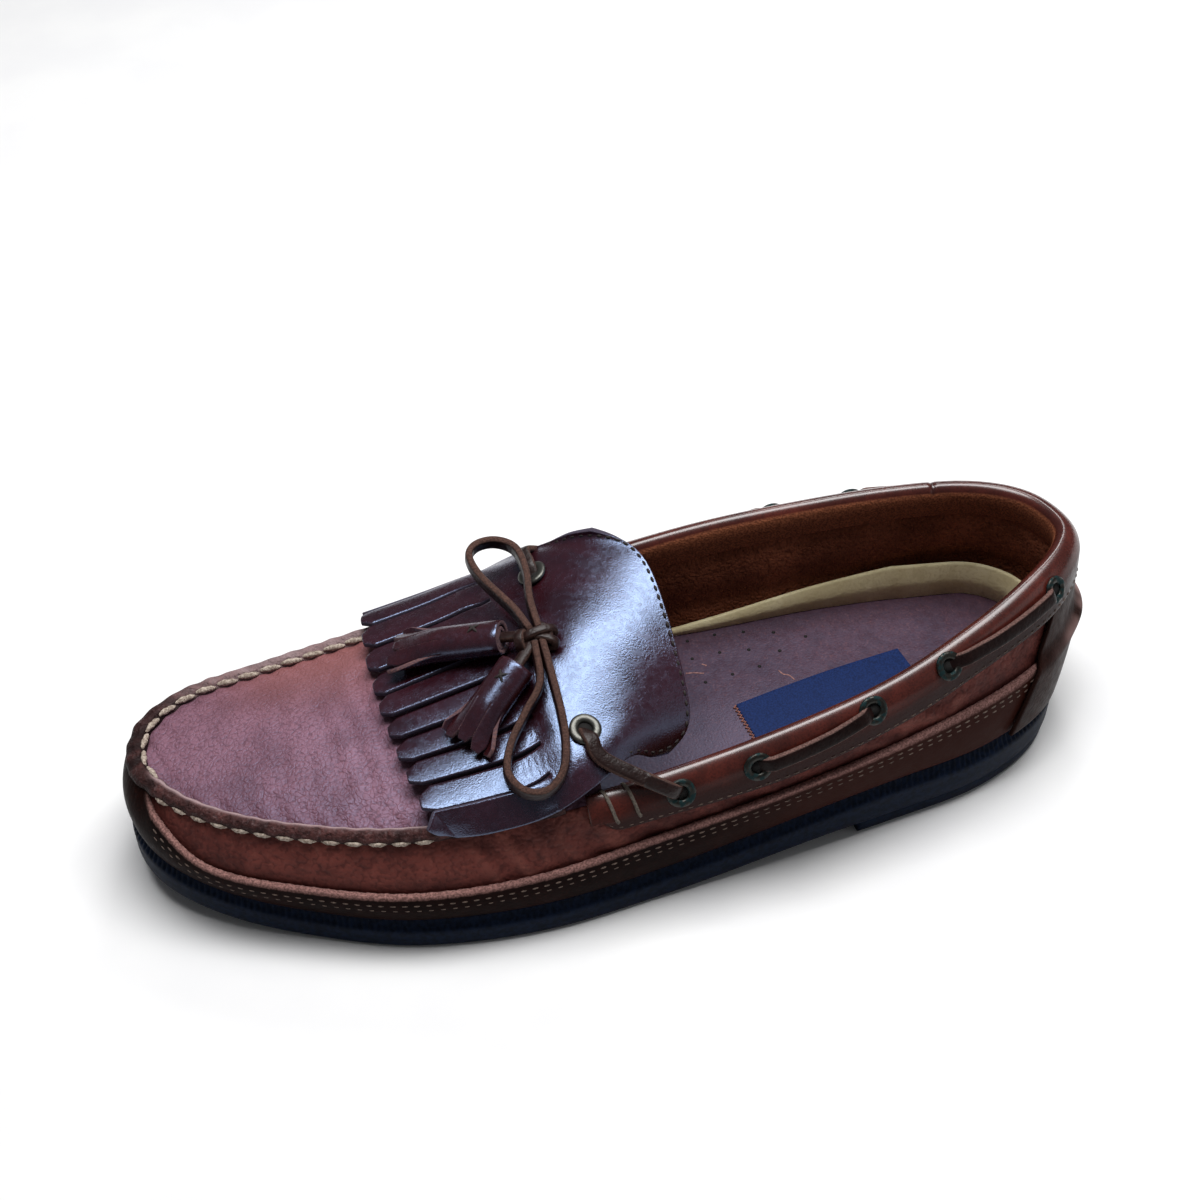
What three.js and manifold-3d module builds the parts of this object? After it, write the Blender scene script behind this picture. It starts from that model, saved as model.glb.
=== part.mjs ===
// Kiltie tassel loafer, left shoe. Millimetres, +Z up, toe at -X, heel at +X, lateral side at -Y.
import * as THREE from "three";
import { mergeVertices } from "three/addons/utils/BufferGeometryUtils.js";
import Module from "manifold-3d";

const wasm = await Module();
wasm.setup();

// Main sizes
const SOLE_HALF_LENGTH = 150;
const TOP_HALF_LENGTH = 145;
const TOP_MIDDLE_X = -1;
const FEATHER_INSET = 3.5;
const WALL = 2.2;
const GAP = 0.3;
const CENTRE_X = 1.4;
const CENTRE_Y = -2.3;

// Sole heights
const FOREFOOT_LEDGE = 11;
const HEEL_LEDGE = 18.5;
const FOREFOOT_RIB = 6.5;
const HEEL_RIB = 14;
const RISE_START_X = -20;
const RISE_END_X = 80;
const SPRING_START_X = -90;
const SPRING_BOTTOM = 8.5;
const SPRING_TOP = 10;
const ARCH_START_X = -10;
const HEEL_BREAST_X = 63;
const HEEL_STEP = 4.5;
const HEEL_TOP = 9;
const SOLE_BEVEL = 1.5;

// Overlays and fittings
const OVERLAY = 2;
const FOXING_FOOT = 1.4;
const OVERLAY_GAP = 0.55;
const RIDGE_RADIUS = 2.8;
const RIDGE_SIDES = 8;
const SEAM_STEP = 3.925;
const THROAT_ANGLE = 97;
const SEAM_ANGLE = 101.5;
const OPENING_LIFT = 26;
const BAND_FRONT_ANGLE = 99;
const BAND_END_ROUND = 0.3;
const BAND_ROUND_POWER = 24;
const BAND_END_GAP = 0.6;
const BAND_GAP_POWER = 8;
const PLUG_CORNER = 1.7;
const DOME_REACH = 6 * WALL;
const RIM_DROP = 3;
const RIM_FADE_ANGLE = 90;
const PANEL_TOP_ANGLE = 26;
const PANEL_FOOT_ANGLE = 40;
const PANEL_FADE_START = 0.02;
const PANEL_FADE_END = 0.14;
const INSOLE_THICKNESS = 3.5;
const INSOLE_CLEARANCE = 1;
const TOE_CLEARANCE = 4.5;
const CUP_WALL = 1.4;
const CUP_HALF_ANGLE = 82;
const CUP_TAPER_ANGLE = 36;
const CUP_CLEARANCE = 4.5;
const CUP_END_CLEARANCE = 1;
const CUP_FADE_START = 34;
const CUP_FADE_END = 62;
const CUP_HEIGHT = 11;
const CUP_END_HEIGHT = 1;
const LEATHER = 2;
const EYELET_OUTER = 4.2;
const EYELET_INNER = 2.1;
const EYELET_THICKNESS = 1.2;
const EYELET_OUTER_SLOPE = 0.7;
const EYELET_INNER_SLOPE = 0.3;
const LACE_RADIUS = 1.6;
const BAR_LIFT = EYELET_THICKNESS + 2 * GAP + LACE_RADIUS;

// Resolution
const RING_STEPS = 60;
const WALL_SHARES = [0, 0.2, 0.4, 0.6, 0.8, 1];
const FOXING_SHARES = [0, 0.3, 0.65, 1];
const CAP_STEPS = 6;
const RIDGE_STEPS = 30;
const PANEL_STEPS = 8;
const BAR_STEPS = 6;
const LOOP_STEPS = 12;
const KNOT_SIDES = 12;
const KNOT_RINGS = 8;
const EYELET_SIDES = 10;
const TASSEL_SIDES = 10;
const INSIDE_PASSES = 3;
const WELD = 1e-4;

// Small steps that give the slopes of the surfaces
const EDGE_STEP = 2;
const AROUND_STEP = 1.5;
const SHARE_STEP = 0.02;
const DROP_STEP = 1;
const ROW_STEP = 0.02;
const ACROSS_STEP = 0.01;

// Sections of the last by angle: 0 heel back, 90 lateral, 180 toe, 270 medial.
// edge: sole edge Y. top: Y of the seam or collar line. rise: its height. belly: bulge of the wall.
// fox: height of the foxing's upper edge. band: height of the collar band's lower edge.
const LAST_STEP = 15;
const LAST = [
  { angle: 0, edge: -1, top: -2.5, rise: 67, belly: 3.5, fox: 37, band: 52 },
  { angle: 15, edge: -16, top: -12.7, rise: 66.3, belly: 3, fox: 37.4, band: 52 },
  { angle: 30, edge: -34.2, top: -22.6, rise: 64.4, belly: 2.7, fox: 37.9, band: 51.5 },
  { angle: 45, edge: -45, top: -33.2, rise: 60.7, belly: 2.2, fox: 37.4, band: 49.5 },
  { angle: 60, edge: -49.4, top: -42.6, rise: 55.6, belly: 2.1, fox: 35, band: 43.6 },
  { angle: 75, edge: -52.8, top: -47, rise: 50.2, belly: 2.2, fox: 31, band: 37.2 },
  { angle: 90, edge: -55.8, top: -48.2, rise: 44.6, belly: 2.3, fox: 27, band: 34.2 },
  { angle: 105, edge: -58, top: -47.5, rise: 40.2, belly: 2.8, fox: 23.4, band: 32 },
  { angle: 120, edge: -52.9, top: -43, rise: 37.6, belly: 3.4, fox: 22.3, band: 31 },
  { angle: 135, edge: -40.2, top: -32.4, rise: 37.2, belly: 3.7, fox: 23, band: 30.5 },
  { angle: 150, edge: -27.3, top: -19.2, rise: 37.2, belly: 4, fox: 25.2, band: 30 },
  { angle: 165, edge: -13.3, top: -3.7, rise: 36.7, belly: 2.4, fox: 33.2, band: 30 },
  { angle: 180, edge: 3.8, top: 9.2, rise: 36, belly: 1.8, fox: 32.5, band: 30 },
  { angle: 195, edge: 23, top: 24, rise: 35.6, belly: 2.2, fox: 32, band: 30 },
  { angle: 210, edge: 38.5, top: 33.8, rise: 35, belly: 4, fox: 25.2, band: 30 },
  { angle: 225, edge: 49.3, top: 38, rise: 35, belly: 4.2, fox: 22.5, band: 30 },
  { angle: 240, edge: 54.6, top: 39.8, rise: 37.9, belly: 4, fox: 22, band: 30 },
  { angle: 255, edge: 51.8, top: 39.8, rise: 43.9, belly: 3.5, fox: 23, band: 32 },
  { angle: 270, edge: 43, top: 38.6, rise: 52, belly: 3, fox: 26.5, band: 37 },
  { angle: 285, edge: 35.5, top: 36.2, rise: 59, belly: 2.5, fox: 30.5, band: 43 },
  { angle: 300, edge: 32, top: 32.7, rise: 62.8, belly: 2.8, fox: 34.5, band: 48 },
  { angle: 315, edge: 31, top: 29.3, rise: 64.2, belly: 3, fox: 36.8, band: 50.8 },
  { angle: 330, edge: 28, top: 23.8, rise: 65, belly: 3.2, fox: 37.4, band: 51.8 },
  { angle: 345, edge: 16, top: 13, rise: 66.2, belly: 3.4, fox: 37.2, band: 52 },
];

// Dome of the plug over the line between the two seams
const PLUG = [
  { x: -146, crown: 0 },
  { x: -125, crown: 3.5 },
  { x: -100, crown: 6 },
  { x: -70, crown: 7 },
  { x: -45, crown: 10 },
  { x: -22, crown: 13 },
  { x: -12, crown: 11 },
  { x: 0, crown: 0 },
];

// Kiltie and tongue, one row for each section from the fringe's ends to the tongue's back edge.
// Five places across: near edge, near shoulder, middle, far shoulder, far edge.
const KILTIE = [
  { x: -73, y: [-48.5, -41, -2, 36.5, 46], z: [39.8, 44.6, 47.6, 45, 42], nearPull: -8, farPull: -9 },
  { x: -52, y: [-51, -43, -2, 37.5, 46.5], z: [42, 47.2, 53.2, 48.5, 44], nearPull: 0, farPull: 0 },
  { x: -36, y: [-51.5, -43, -2, 37.5, 46], z: [44.2, 50, 57.8, 53, 47], nearPull: 0, farPull: 0 },
  { x: -22, y: [-48.5, -36.5, -2, 31, 44.5], z: [48, 55.4, 63.5, 60.5, 54], nearPull: 0, farPull: 0 },
  { x: -8, y: [-40.5, -31.5, -4, 24, 38.5], z: [48.5, 55.5, 66.5, 68, 63], nearPull: 1, farPull: 5 },
  { x: 5, y: [-38, -29.5, -7, 16, 34.5], z: [43.5, 52, 65.5, 71.5, 70], nearPull: 7, farPull: 12 },
  { x: 14, y: [-36, -28, -9, 12, 30], z: [41, 49.8, 62.8, 71.5, 74.5], nearPull: 11, farPull: 15 },
];
const KILTIE_PLACES = [0, 1, 2, 3, 4];
const KILTIE_SPANS = KILTIE_PLACES.length - 1;
const KILTIE_PULL_POWER = 4;
const KILTIE_ROOT = 2.25;
const KILTIE_BACK_MARGIN = 0.02;
const KILTIE_BODY_STEPS = 6;
const KILTIE_ACROSS_STEPS = 10;
const FRINGE_START = 0.01;
const FRINGE_END = 0.99;
const FRINGE_SLIT = 0.01;
const FRINGE_CLIP = 0.3;
const FRINGE_ROWS = [0.02, 0.2, 0.6, 1.15, 1.7];
const FRINGE_OVERLAP = 0.05;

// Strips of the fringe from the near side. end: where it ends across the kiltie. shorter: by how many rows.
const FRINGE = [
  { end: 0.25, shorter: 0.2 },
  { end: 0.323, shorter: 0.24 },
  { end: 0.377, shorter: 0.17 },
  { end: 0.427, shorter: 0.11 },
  { end: 0.476, shorter: 0.06 },
  { end: 0.534, shorter: 0.02 },
  { end: 0.592, shorter: 0 },
  { end: 0.657, shorter: 0.02 },
  { end: 0.735, shorter: 0.08 },
  { end: 0.87, shorter: 0.12 },
  { end: FRINGE_END, shorter: 0 },
];

// Section of the padded collar roll: rise above the collar line, and distance out from the wall
const ROLL = {
  shoulder: { rise: -5, out: 3.1 },
  top: { rise: 2.3, out: -0.9 },
  inner: { rise: 0.5, out: -4.2 },
  hem: { rise: -9, out: -4.6 },
};

// Eyelets of the collar: angle on the lateral side and drop below the collar line
const EYELETS = [
  { angle: 88.4, drop: 3.3 },
  { angle: 79.2, drop: 3.6 },
  { angle: 64, drop: 1.5 },
  { angle: 52, drop: 1.5 },
  { angle: 26.7, drop: 4.2 },
];
const MEDIAL_DROP = 4;
const LACE_BARS = [
  { from: 1, to: 2 },
  { from: 3, to: 4 },
];
const BAR_PLACES = [0.05, 0.25, 0.5, 0.75, 0.95];
const KILTIE_EYELETS = [
  { side: "lateral", row: 3.15, across: 0.272, edge: 0.03 },
  { side: "medial", row: 3.24, across: 0.71, edge: 0.97 },
];
const KILTIE_BAR_PLACES = [
  { rows: 0, share: 0.2 },
  { rows: 0.15, share: 0.6 },
  { rows: 0.35, share: 1 },
];

// Bow: knot, loops and tassels. Loop places lie on or above the kiltie.
const KNOT = { x: -25.5, y: -4, z: 67.6, long: 6.5, wide: 4.6, high: 3.8 };
const NEAR_LOOP = [
  { x: -27, y: -6, z: 67 },
  { x: -28.7, y: -18, z: 63 },
  { x: -35, y: -25, z: 59.2 },
  { x: -41, y: -32, z: 56.2 },
  { x: -44.3, y: -40, z: 53.6 },
  { x: -41.5, y: -46.5, z: 52 },
  { x: -35.5, y: -48.5, z: 51.8 },
  { x: -30, y: -45.5, z: 54.2 },
  { x: -27, y: -39, z: 57.4 },
  { x: -25.6, y: -30, z: 60.6 },
  { x: -25, y: -18, z: 64 },
  { x: -24.6, y: -6, z: 67 },
];
const FAR_LOOP = [
  { x: -27, y: -1.5, z: 67.4 },
  { x: -29, y: 8, z: 67.2 },
  { x: -31.5, y: 15, z: 67 },
  { x: -35.6, y: 25, z: 67.6 },
  { x: -37, y: 32, z: 69.6 },
  { x: -33.5, y: 36.5, z: 69.6 },
  { x: -27.5, y: 36.5, z: 69.6 },
  { x: -22.8, y: 31, z: 70 },
  { x: -22.2, y: 21, z: 69.6 },
  { x: -24, y: 10, z: 68.4 },
  { x: -24.4, y: -1.5, z: 67.4 },
];
const TASSELS = [
  { name: "tassel_near", start: [-33.5, -11.2, 64.9], end: [-54, -26, 53.8] },
  { name: "tassel_far", start: [-34.8, 1, 65.2], end: [-65.2, 16.4, 53.4] },
];
const TASSEL_HEAD_SHARE = 0.5;
const TASSEL_HEAD = [
  { at: 0, radius: 2.6 },
  { at: 0.15, radius: 4.8 },
  { at: 0.55, radius: 5.6 },
  { at: 1, radius: 5.3 },
];
const TASSEL_FLATTEN = 0.8;
const TASSEL_STRIPS = 5;
const TASSEL_STRIP = { width: 4.6, thickness: 1.6, overlap: 4, stagger: 1.2 };
const TASSEL_FAN = 0.17;

const vec = (x, y, z) => new THREE.Vector3(x, y, z);
const mix = (a, b, share) => a + (b - a) * share;
const radians = (degrees) => (degrees * Math.PI) / 180;

function evenSteps(start, end, steps) {
  return Array.from({ length: steps + 1 }, (_, i) => mix(start, end, i / steps));
}

function smoothStep(value, start, end) {
  const share = Math.min(Math.max((value - start) / (end - start), 0), 1);
  return share * share * (3 - 2 * share);
}

// Curve through four equally spaced values
function cubicThrough(a, b, c, d, share) {
  const slopeB = (c - a) / 2;
  const slopeC = (d - b) / 2;
  const square = share * share;
  const cube = square * share;
  return (
    b * (2 * cube - 3 * square + 1) +
    slopeB * (cube - 2 * square + share) +
    c * (3 * square - 2 * cube) +
    slopeC * (cube - square)
  );
}

function lastValue(column, angle) {
  const turn = (((angle % 360) + 360) % 360) / LAST_STEP;
  const low = Math.floor(turn);
  const row = (index) => LAST[(index + LAST.length) % LAST.length][column];
  return cubicThrough(row(low - 1), row(low), row(low + 1), row(low + 2), turn - low);
}

function crownAt(x) {
  const last = PLUG.length - 1;
  let low = 0;
  while (low < last - 1 && x > PLUG[low + 1].x) {
    low += 1;
  }
  const row = (index) => PLUG[Math.min(Math.max(index, 0), last)];
  const share = Math.min(Math.max((x - row(low).x) / (row(low + 1).x - row(low).x), 0), 1);
  return mix(row(low).crown, row(low + 1).crown, share);
}

// The last: sole edge, top line and wall
function edgePoint(angle) {
  return new THREE.Vector2(SOLE_HALF_LENGTH * Math.cos(radians(angle)), lastValue("edge", angle));
}

function edgeOutward(angle) {
  const along = edgePoint(angle + EDGE_STEP).sub(edgePoint(angle - EDGE_STEP));
  return new THREE.Vector2(-along.y, along.x).normalize();
}

function soleEdge(angle, inset) {
  return edgePoint(angle).addScaledVector(edgeOutward(angle), -inset);
}

function toeSpring(x, height) {
  const share = Math.max((SPRING_START_X - x) / (SPRING_START_X + SOLE_HALF_LENGTH), 0);
  return height * share * share;
}

function soleLevel(x, forefoot, heel) {
  return mix(forefoot, heel, smoothStep(x, RISE_START_X, RISE_END_X)) + toeSpring(x, SPRING_TOP);
}

function ledgeHeight(x) {
  return soleLevel(x, FOREFOOT_LEDGE, HEEL_LEDGE);
}

function bottomHeight(x) {
  const arch = HEEL_STEP * smoothStep(x, ARCH_START_X, HEEL_BREAST_X);
  return arch + toeSpring(x, SPRING_BOTTOM);
}

function topPoint(angle) {
  const x = TOP_MIDDLE_X + TOP_HALF_LENGTH * Math.cos(radians(angle));
  return vec(x, lastValue("top", angle), lastValue("rise", angle));
}

function wallPoint(angle, share) {
  const foot = soleEdge(angle, FEATHER_INSET);
  const footHeight = ledgeHeight(foot.x) + GAP;
  const top = topPoint(angle);
  const out = edgeOutward(angle).multiplyScalar(2 * lastValue("belly", angle));
  const part = Math.min(share, 1);
  const footPart = (1 - part) * (1 - part);
  const bellyPart = 2 * part * (1 - part);
  const topPart = part * part;
  return vec(
    footPart * foot.x + bellyPart * ((foot.x + top.x) / 2 + out.x) + topPart * top.x,
    footPart * foot.y + bellyPart * ((foot.y + top.y) / 2 + out.y) + topPart * top.y,
    mix(footHeight, top.z, share)
  );
}

function wallAt(angle, share, offset) {
  const around = wallPoint(angle + AROUND_STEP, share).sub(wallPoint(angle - AROUND_STEP, share));
  const upward = wallPoint(angle, share + SHARE_STEP).sub(wallPoint(angle, share - SHARE_STEP));
  const normal = upward.cross(around).normalize();
  return wallPoint(angle, share).addScaledVector(normal, offset);
}

function wallHeight(angle) {
  return topPoint(angle).z - wallPoint(angle, 0).z;
}

function shareAtHeight(angle, height) {
  return (height - wallPoint(angle, 0).z) / wallHeight(angle);
}

function plugPoint(near, far, across) {
  const point = near.clone().lerp(far, across);
  point.z += crownAt(point.x) * 4 * across * (1 - across);
  return point;
}

// Solids from points and triangles, turned outward
function solidFrom(points, triangles) {
  const geometry = new THREE.BufferGeometry();
  const places = new Float32Array(points.flatMap((point) => [point.x, point.y, point.z]));
  geometry.setAttribute("position", new THREE.BufferAttribute(places, 3));
  let volume = 0;
  for (const [a, b, c] of triangles) {
    volume += points[a].dot(points[b].clone().cross(points[c]));
  }
  const faces = volume < 0 ? triangles.map(([a, b, c]) => [a, c, b]) : triangles;
  geometry.setIndex(faces.flat());
  return geometry;
}

// Stacked closed rings, capped across from each place to its mirror place
function ringStack(rings, lowerCap, upperCap) {
  const count = rings[0].length;
  const points = rings.flat();
  const triangles = [];
  for (let level = 0; level + 1 < rings.length; level += 1) {
    for (let i = 0; i < count; i += 1) {
      const a = level * count + i;
      const b = level * count + ((i + 1) % count);
      triangles.push([a, b, b + count], [a, b + count, a + count]);
    }
  }
  const addCap = (level, surface, reversed) => {
    const half = count / 2;
    const station = (i) => {
      const near = level * count + i;
      const far = level * count + ((count - i) % count);
      if (near === far) {
        return new Array(CAP_STEPS + 1).fill(near);
      }
      const row = [near];
      for (let step = 1; step < CAP_STEPS; step += 1) {
        points.push(surface(points[near], points[far], step / CAP_STEPS));
        row.push(points.length - 1);
      }
      row.push(far);
      return row;
    };
    let previous = station(0);
    for (let i = 1; i <= half; i += 1) {
      const next = station(i);
      for (let step = 0; step < CAP_STEPS; step += 1) {
        const corners = [previous[step], next[step], next[step + 1], previous[step + 1]];
        for (const face of [[0, 1, 2], [0, 2, 3]]) {
          const [a, b, c] = face.map((index) => corners[index]);
          if (a !== b && b !== c && c !== a) {
            triangles.push(reversed ? [a, c, b] : [a, b, c]);
          }
        }
      }
      previous = next;
    }
  };
  addCap(0, lowerCap, true);
  addCap(rings.length - 1, upperCap, false);
  return solidFrom(points, triangles);
}

// Cross-section loops joined one to the next, closed round or capped at both ends
function loopSolid(loops, closed) {
  const count = loops[0].length;
  const points = loops.flat();
  const triangles = [];
  const spans = closed ? loops.length : loops.length - 1;
  for (let i = 0; i < spans; i += 1) {
    for (let j = 0; j < count; j += 1) {
      const a = i * count + j;
      const b = i * count + ((j + 1) % count);
      const c = ((i + 1) % loops.length) * count + ((j + 1) % count);
      const d = ((i + 1) % loops.length) * count + j;
      triangles.push([a, b, c], [a, c, d]);
    }
  }
  if (!closed) {
    const half = count / 2;
    const last = (loops.length - 1) * count;
    for (let j = 0; j + 1 < half; j += 1) {
      const opposite = count - 1 - j;
      const quad = [j, j + 1, opposite - 1, opposite];
      triangles.push([quad[0], quad[2], quad[1]], [quad[0], quad[3], quad[2]]);
      const [a, b, c, d] = quad.map((index) => index + last);
      triangles.push([a, b, c], [a, c, d]);
    }
  }
  return solidFrom(points, triangles);
}

function toManifold(geometry) {
  const plain = geometry.clone();
  plain.deleteAttribute("normal");
  plain.deleteAttribute("uv");
  const merged = mergeVertices(plain, WELD);
  const mesh = new wasm.Mesh({
    numProp: 3,
    vertProperties: new Float32Array(merged.attributes.position.array),
    triVerts: new Uint32Array(merged.index.array),
  });
  return new wasm.Manifold(mesh);
}

function fromManifold(manifold) {
  const mesh = manifold.getMesh();
  const geometry = new THREE.BufferGeometry();
  geometry.setAttribute("position", new THREE.BufferAttribute(new Float32Array(mesh.vertProperties), 3));
  geometry.setIndex(Array.from(mesh.triVerts));
  return geometry;
}

function united(geometries) {
  const solids = geometries.map(toManifold);
  return fromManifold(solids.reduce((whole, next) => whole.add(next)));
}

function tube(places, radius, steps) {
  const path = new THREE.CatmullRomCurve3(places);
  const outline = new THREE.Shape();
  outline.absarc(0, 0, radius, 0, Math.PI * 2, false);
  return new THREE.ExtrudeGeometry(outline, {
    steps,
    curveSegments: RIDGE_SIDES / 2,
    extrudePath: path,
    bevelEnabled: false,
  });
}

const ringAngles = Array.from({ length: RING_STEPS }, (_, i) => (360 * i) / RING_STEPS);
const straight = (near, far, across) => near.clone().lerp(far, across);

// Ring angles from minus half to half, so that a strip's facets lie along the wall's
function angleSpan(half) {
  const spacing = 360 / RING_STEPS;
  const reach = Math.ceil(half / spacing) - 1;
  const inner = Array.from({ length: 2 * reach + 1 }, (_, i) => (i - reach) * spacing);
  return [-half, ...inner, half];
}

// Outsole, one moulding with its heel
function outsole() {
  const ring = (inset, height) =>
    ringAngles.map((angle) => {
      const edge = soleEdge(angle, inset);
      return vec(edge.x, edge.y, height(edge.x));
    });
  const rings = [
    ring(SOLE_BEVEL, bottomHeight),
    ring(0, (x) => bottomHeight(x) + SOLE_BEVEL),
    ring(0, (x) => soleLevel(x, FOREFOOT_RIB, HEEL_RIB)),
    ring(FEATHER_INSET - 1, ledgeHeight),
  ];
  const follow = (height) => (near, far, across) => {
    const point = straight(near, far, across);
    point.z = height(point.x);
    return point;
  };
  const unit = ringStack(rings, follow(bottomHeight), follow(ledgeHeight));
  const heelRings = [
    ring(SOLE_BEVEL, () => 0),
    ring(SOLE_BEVEL / 3, () => SOLE_BEVEL),
    ring(SOLE_BEVEL / 3, () => HEEL_TOP),
  ];
  const heelForm = toManifold(ringStack(heelRings, straight, straight));
  const behindBreast = new THREE.BoxGeometry(SOLE_HALF_LENGTH, SOLE_HALF_LENGTH, SOLE_HALF_LENGTH);
  behindBreast.translate(HEEL_BREAST_X + SOLE_HALF_LENGTH / 2, 0, 0);
  const heel = heelForm.intersect(toManifold(behindBreast));
  return fromManifold(toManifold(unit).add(heel));
}

// The upper's rim under the collar roll lies a little lower than the collar line
function rimDrop(angle) {
  const turn = Math.abs(angle) > 180 ? 360 - angle : Math.abs(angle);
  return RIM_DROP * (1 - smoothStep(turn, RIM_FADE_ANGLE, BAND_FRONT_ANGLE));
}

// Upper: hollow wall and plug, open underneath and at the collar and throat, with the raised toe seam
function upper() {
  const outerRings = WALL_SHARES.map((share) =>
    ringAngles.map((angle) => wallPoint(angle, share * (1 - rimDrop(angle) / wallHeight(angle))))
  );
  const outer = ringStack(outerRings, straight, plugPoint);
  const isOpen = (angle) => angle < THROAT_ANGLE || angle > 360 - THROAT_ANGLE;
  const innerShares = (angle) => {
    const wall = WALL / wallHeight(angle);
    const lift = OPENING_LIFT / wallHeight(angle);
    const rim = 1 - rimDrop(angle) / wallHeight(angle);
    const top = isOpen(angle) ? [rim, 1 + lift] : [1 - PLUG_CORNER * wall, 1 - wall];
    return [-wall, ...WALL_SHARES.slice(1, -1).map((share) => share * rim), ...top];
  };
  const levels = innerShares(0).map((_, level) => level);
  const innerRings = levels.map((level) =>
    ringAngles.map((angle) => wallAt(angle, innerShares(angle)[level], -WALL))
  );
  const openX = topPoint(THROAT_ANGLE).x;
  const innerTop = (near, far, across) => {
    return near.x > openX ? straight(near, far, across) : plugPoint(near, far, across);
  };
  const inner = ringStack(innerRings, straight, innerTop);
  const seamPlaces = [];
  for (let angle = SEAM_ANGLE; angle <= 360 - SEAM_ANGLE; angle += SEAM_STEP) {
    seamPlaces.push(topPoint(angle));
  }
  const ridge = tube(seamPlaces, RIDGE_RADIUS, RIDGE_STEPS);
  const hollow = toManifold(outer).subtract(toManifold(inner));
  return fromManifold(hollow.add(toManifold(ridge)));
}

// Foxing: a band all round the foot of the wall, up to the seam at the toe
function foxing() {
  const loops = ringAngles.map((angle) => {
    const foot = FOXING_FOOT / wallHeight(angle);
    const top = shareAtHeight(angle, lastValue("fox", angle));
    const shares = FOXING_SHARES.map((share) => mix(foot, top, share));
    const inside = shares.map((share) => wallAt(angle, share, OVERLAY_GAP));
    const outside = shares.map((share) => wallAt(angle, share, OVERLAY_GAP + OVERLAY));
    return [...inside, ...outside.reverse()];
  });
  return loopSolid(loops, true);
}

// Collar band: a padded roll folded over the rim, from one front end round the heel to the other
function collarAt(angle, rise, out) {
  return wallAt(angle, 1 + rise / wallHeight(angle), out);
}

// How far the plug's dome lifts the rim's inner corner near the throat
function domeAtRim(angle) {
  const place = topPoint(angle);
  const width = Math.abs(place.y - topPoint(-angle).y);
  const dome = crownAt(place.x);
  return dome > 0 ? (dome * DOME_REACH) / width : 0;
}

function collarBand() {
  const loops = [];
  for (const angle of angleSpan(BAND_FRONT_ANGLE)) {
    const lowest = lastValue("band", angle) - lastValue("rise", angle);
    const toEnd = Math.abs(angle) / BAND_FRONT_ANGLE;
    const low = mix(lowest, 0, BAND_END_ROUND * Math.pow(toEnd, BAND_ROUND_POWER));
    const middle = (low + ROLL.shoulder.rise) / 2;
    const endGap = BAND_END_GAP * Math.pow(toEnd, BAND_GAP_POWER);
    const inside = -WALL - 2 * GAP - endGap;
    const rim = GAP - rimDrop(angle);
    const rimOuter = collarAt(angle, rim, GAP);
    const rimInner = collarAt(angle, rim, inside);
    rimInner.z = rimOuter.z + 2 * GAP + endGap + domeAtRim(angle);
    const inner = [
      collarAt(angle, low, GAP),
      collarAt(angle, middle, GAP),
      collarAt(angle, Math.min(ROLL.shoulder.rise, rim - GAP), GAP),
      rimOuter,
      rimInner,
      collarAt(angle, ROLL.hem.rise, inside),
    ];
    const outer = [
      collarAt(angle, low, GAP + OVERLAY),
      collarAt(angle, middle, (GAP + OVERLAY + ROLL.shoulder.out) / 2),
      collarAt(angle, ROLL.shoulder.rise, ROLL.shoulder.out),
      collarAt(angle, ROLL.top.rise, ROLL.top.out),
      collarAt(angle, ROLL.inner.rise, ROLL.inner.out),
      collarAt(angle, ROLL.hem.rise, ROLL.hem.out),
    ];
    loops.push([...inner, ...outer.reverse()]);
  }
  return loopSolid(loops, false);
}

// Heel panel: wraps the heel from the collar band to the sole, over the foxing, wider at its foot
function heelPanel() {
  const spread = angleSpan(PANEL_FOOT_ANGLE).map((angle) => angle / PANEL_FOOT_ANGLE);
  const loops = evenSteps(0, 1, PANEL_STEPS).map((up) => {
    const half = mix(PANEL_FOOT_ANGLE, PANEL_TOP_ANGLE, up);
    const under = spread.map((side) => {
      const angle = side * half;
      const foot = FOXING_FOOT / wallHeight(angle);
      const top = shareAtHeight(angle, lastValue("band", angle) - OVERLAY_GAP);
      const share = mix(foot, top, up);
      const foxTop = shareAtHeight(angle, lastValue("fox", angle));
      const onFoxing = 1 - smoothStep(share, foxTop + PANEL_FADE_START, foxTop + PANEL_FADE_END);
      return { angle, share, lift: OVERLAY_GAP + onFoxing * (OVERLAY + OVERLAY_GAP) };
    });
    const inside = under.map((place) => wallAt(place.angle, place.share, place.lift));
    const outside = under.map((place) => wallAt(place.angle, place.share, place.lift + OVERLAY));
    return [...inside, ...outside.reverse()];
  });
  return loopSolid(loops, false);
}

// Insole and the cup that rises round the heel
function insideAt(angle, height, clearance) {
  let share = shareAtHeight(angle, height);
  let place = wallAt(angle, share, -WALL - clearance);
  for (let pass = 0; pass < INSIDE_PASSES; pass += 1) {
    share += (height - place.z) / wallHeight(angle);
    place = wallAt(angle, share, -WALL - clearance);
  }
  return place;
}

function insoleTop(x) {
  return ledgeHeight(x) + GAP + INSOLE_THICKNESS;
}

function insole() {
  const ring = (rise, height) =>
    ringAngles.map((angle) => {
      const foot = wallPoint(angle, 0);
      const toePart = smoothStep(-foot.x, -SPRING_START_X, SOLE_HALF_LENGTH - FEATHER_INSET);
      const place = insideAt(angle, foot.z + rise, mix(INSOLE_CLEARANCE, TOE_CLEARANCE, toePart));
      return vec(place.x, place.y, height(place.x));
    });
  const under = (x) => ledgeHeight(x) + GAP;
  const follow = (height) => (near, far, across) => {
    const point = straight(near, far, across);
    point.z = height(point.x);
    return point;
  };
  const rings = [ring(0, under), ring(INSOLE_THICKNESS, insoleTop)];
  return ringStack(rings, follow(under), follow(insoleTop));
}

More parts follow.
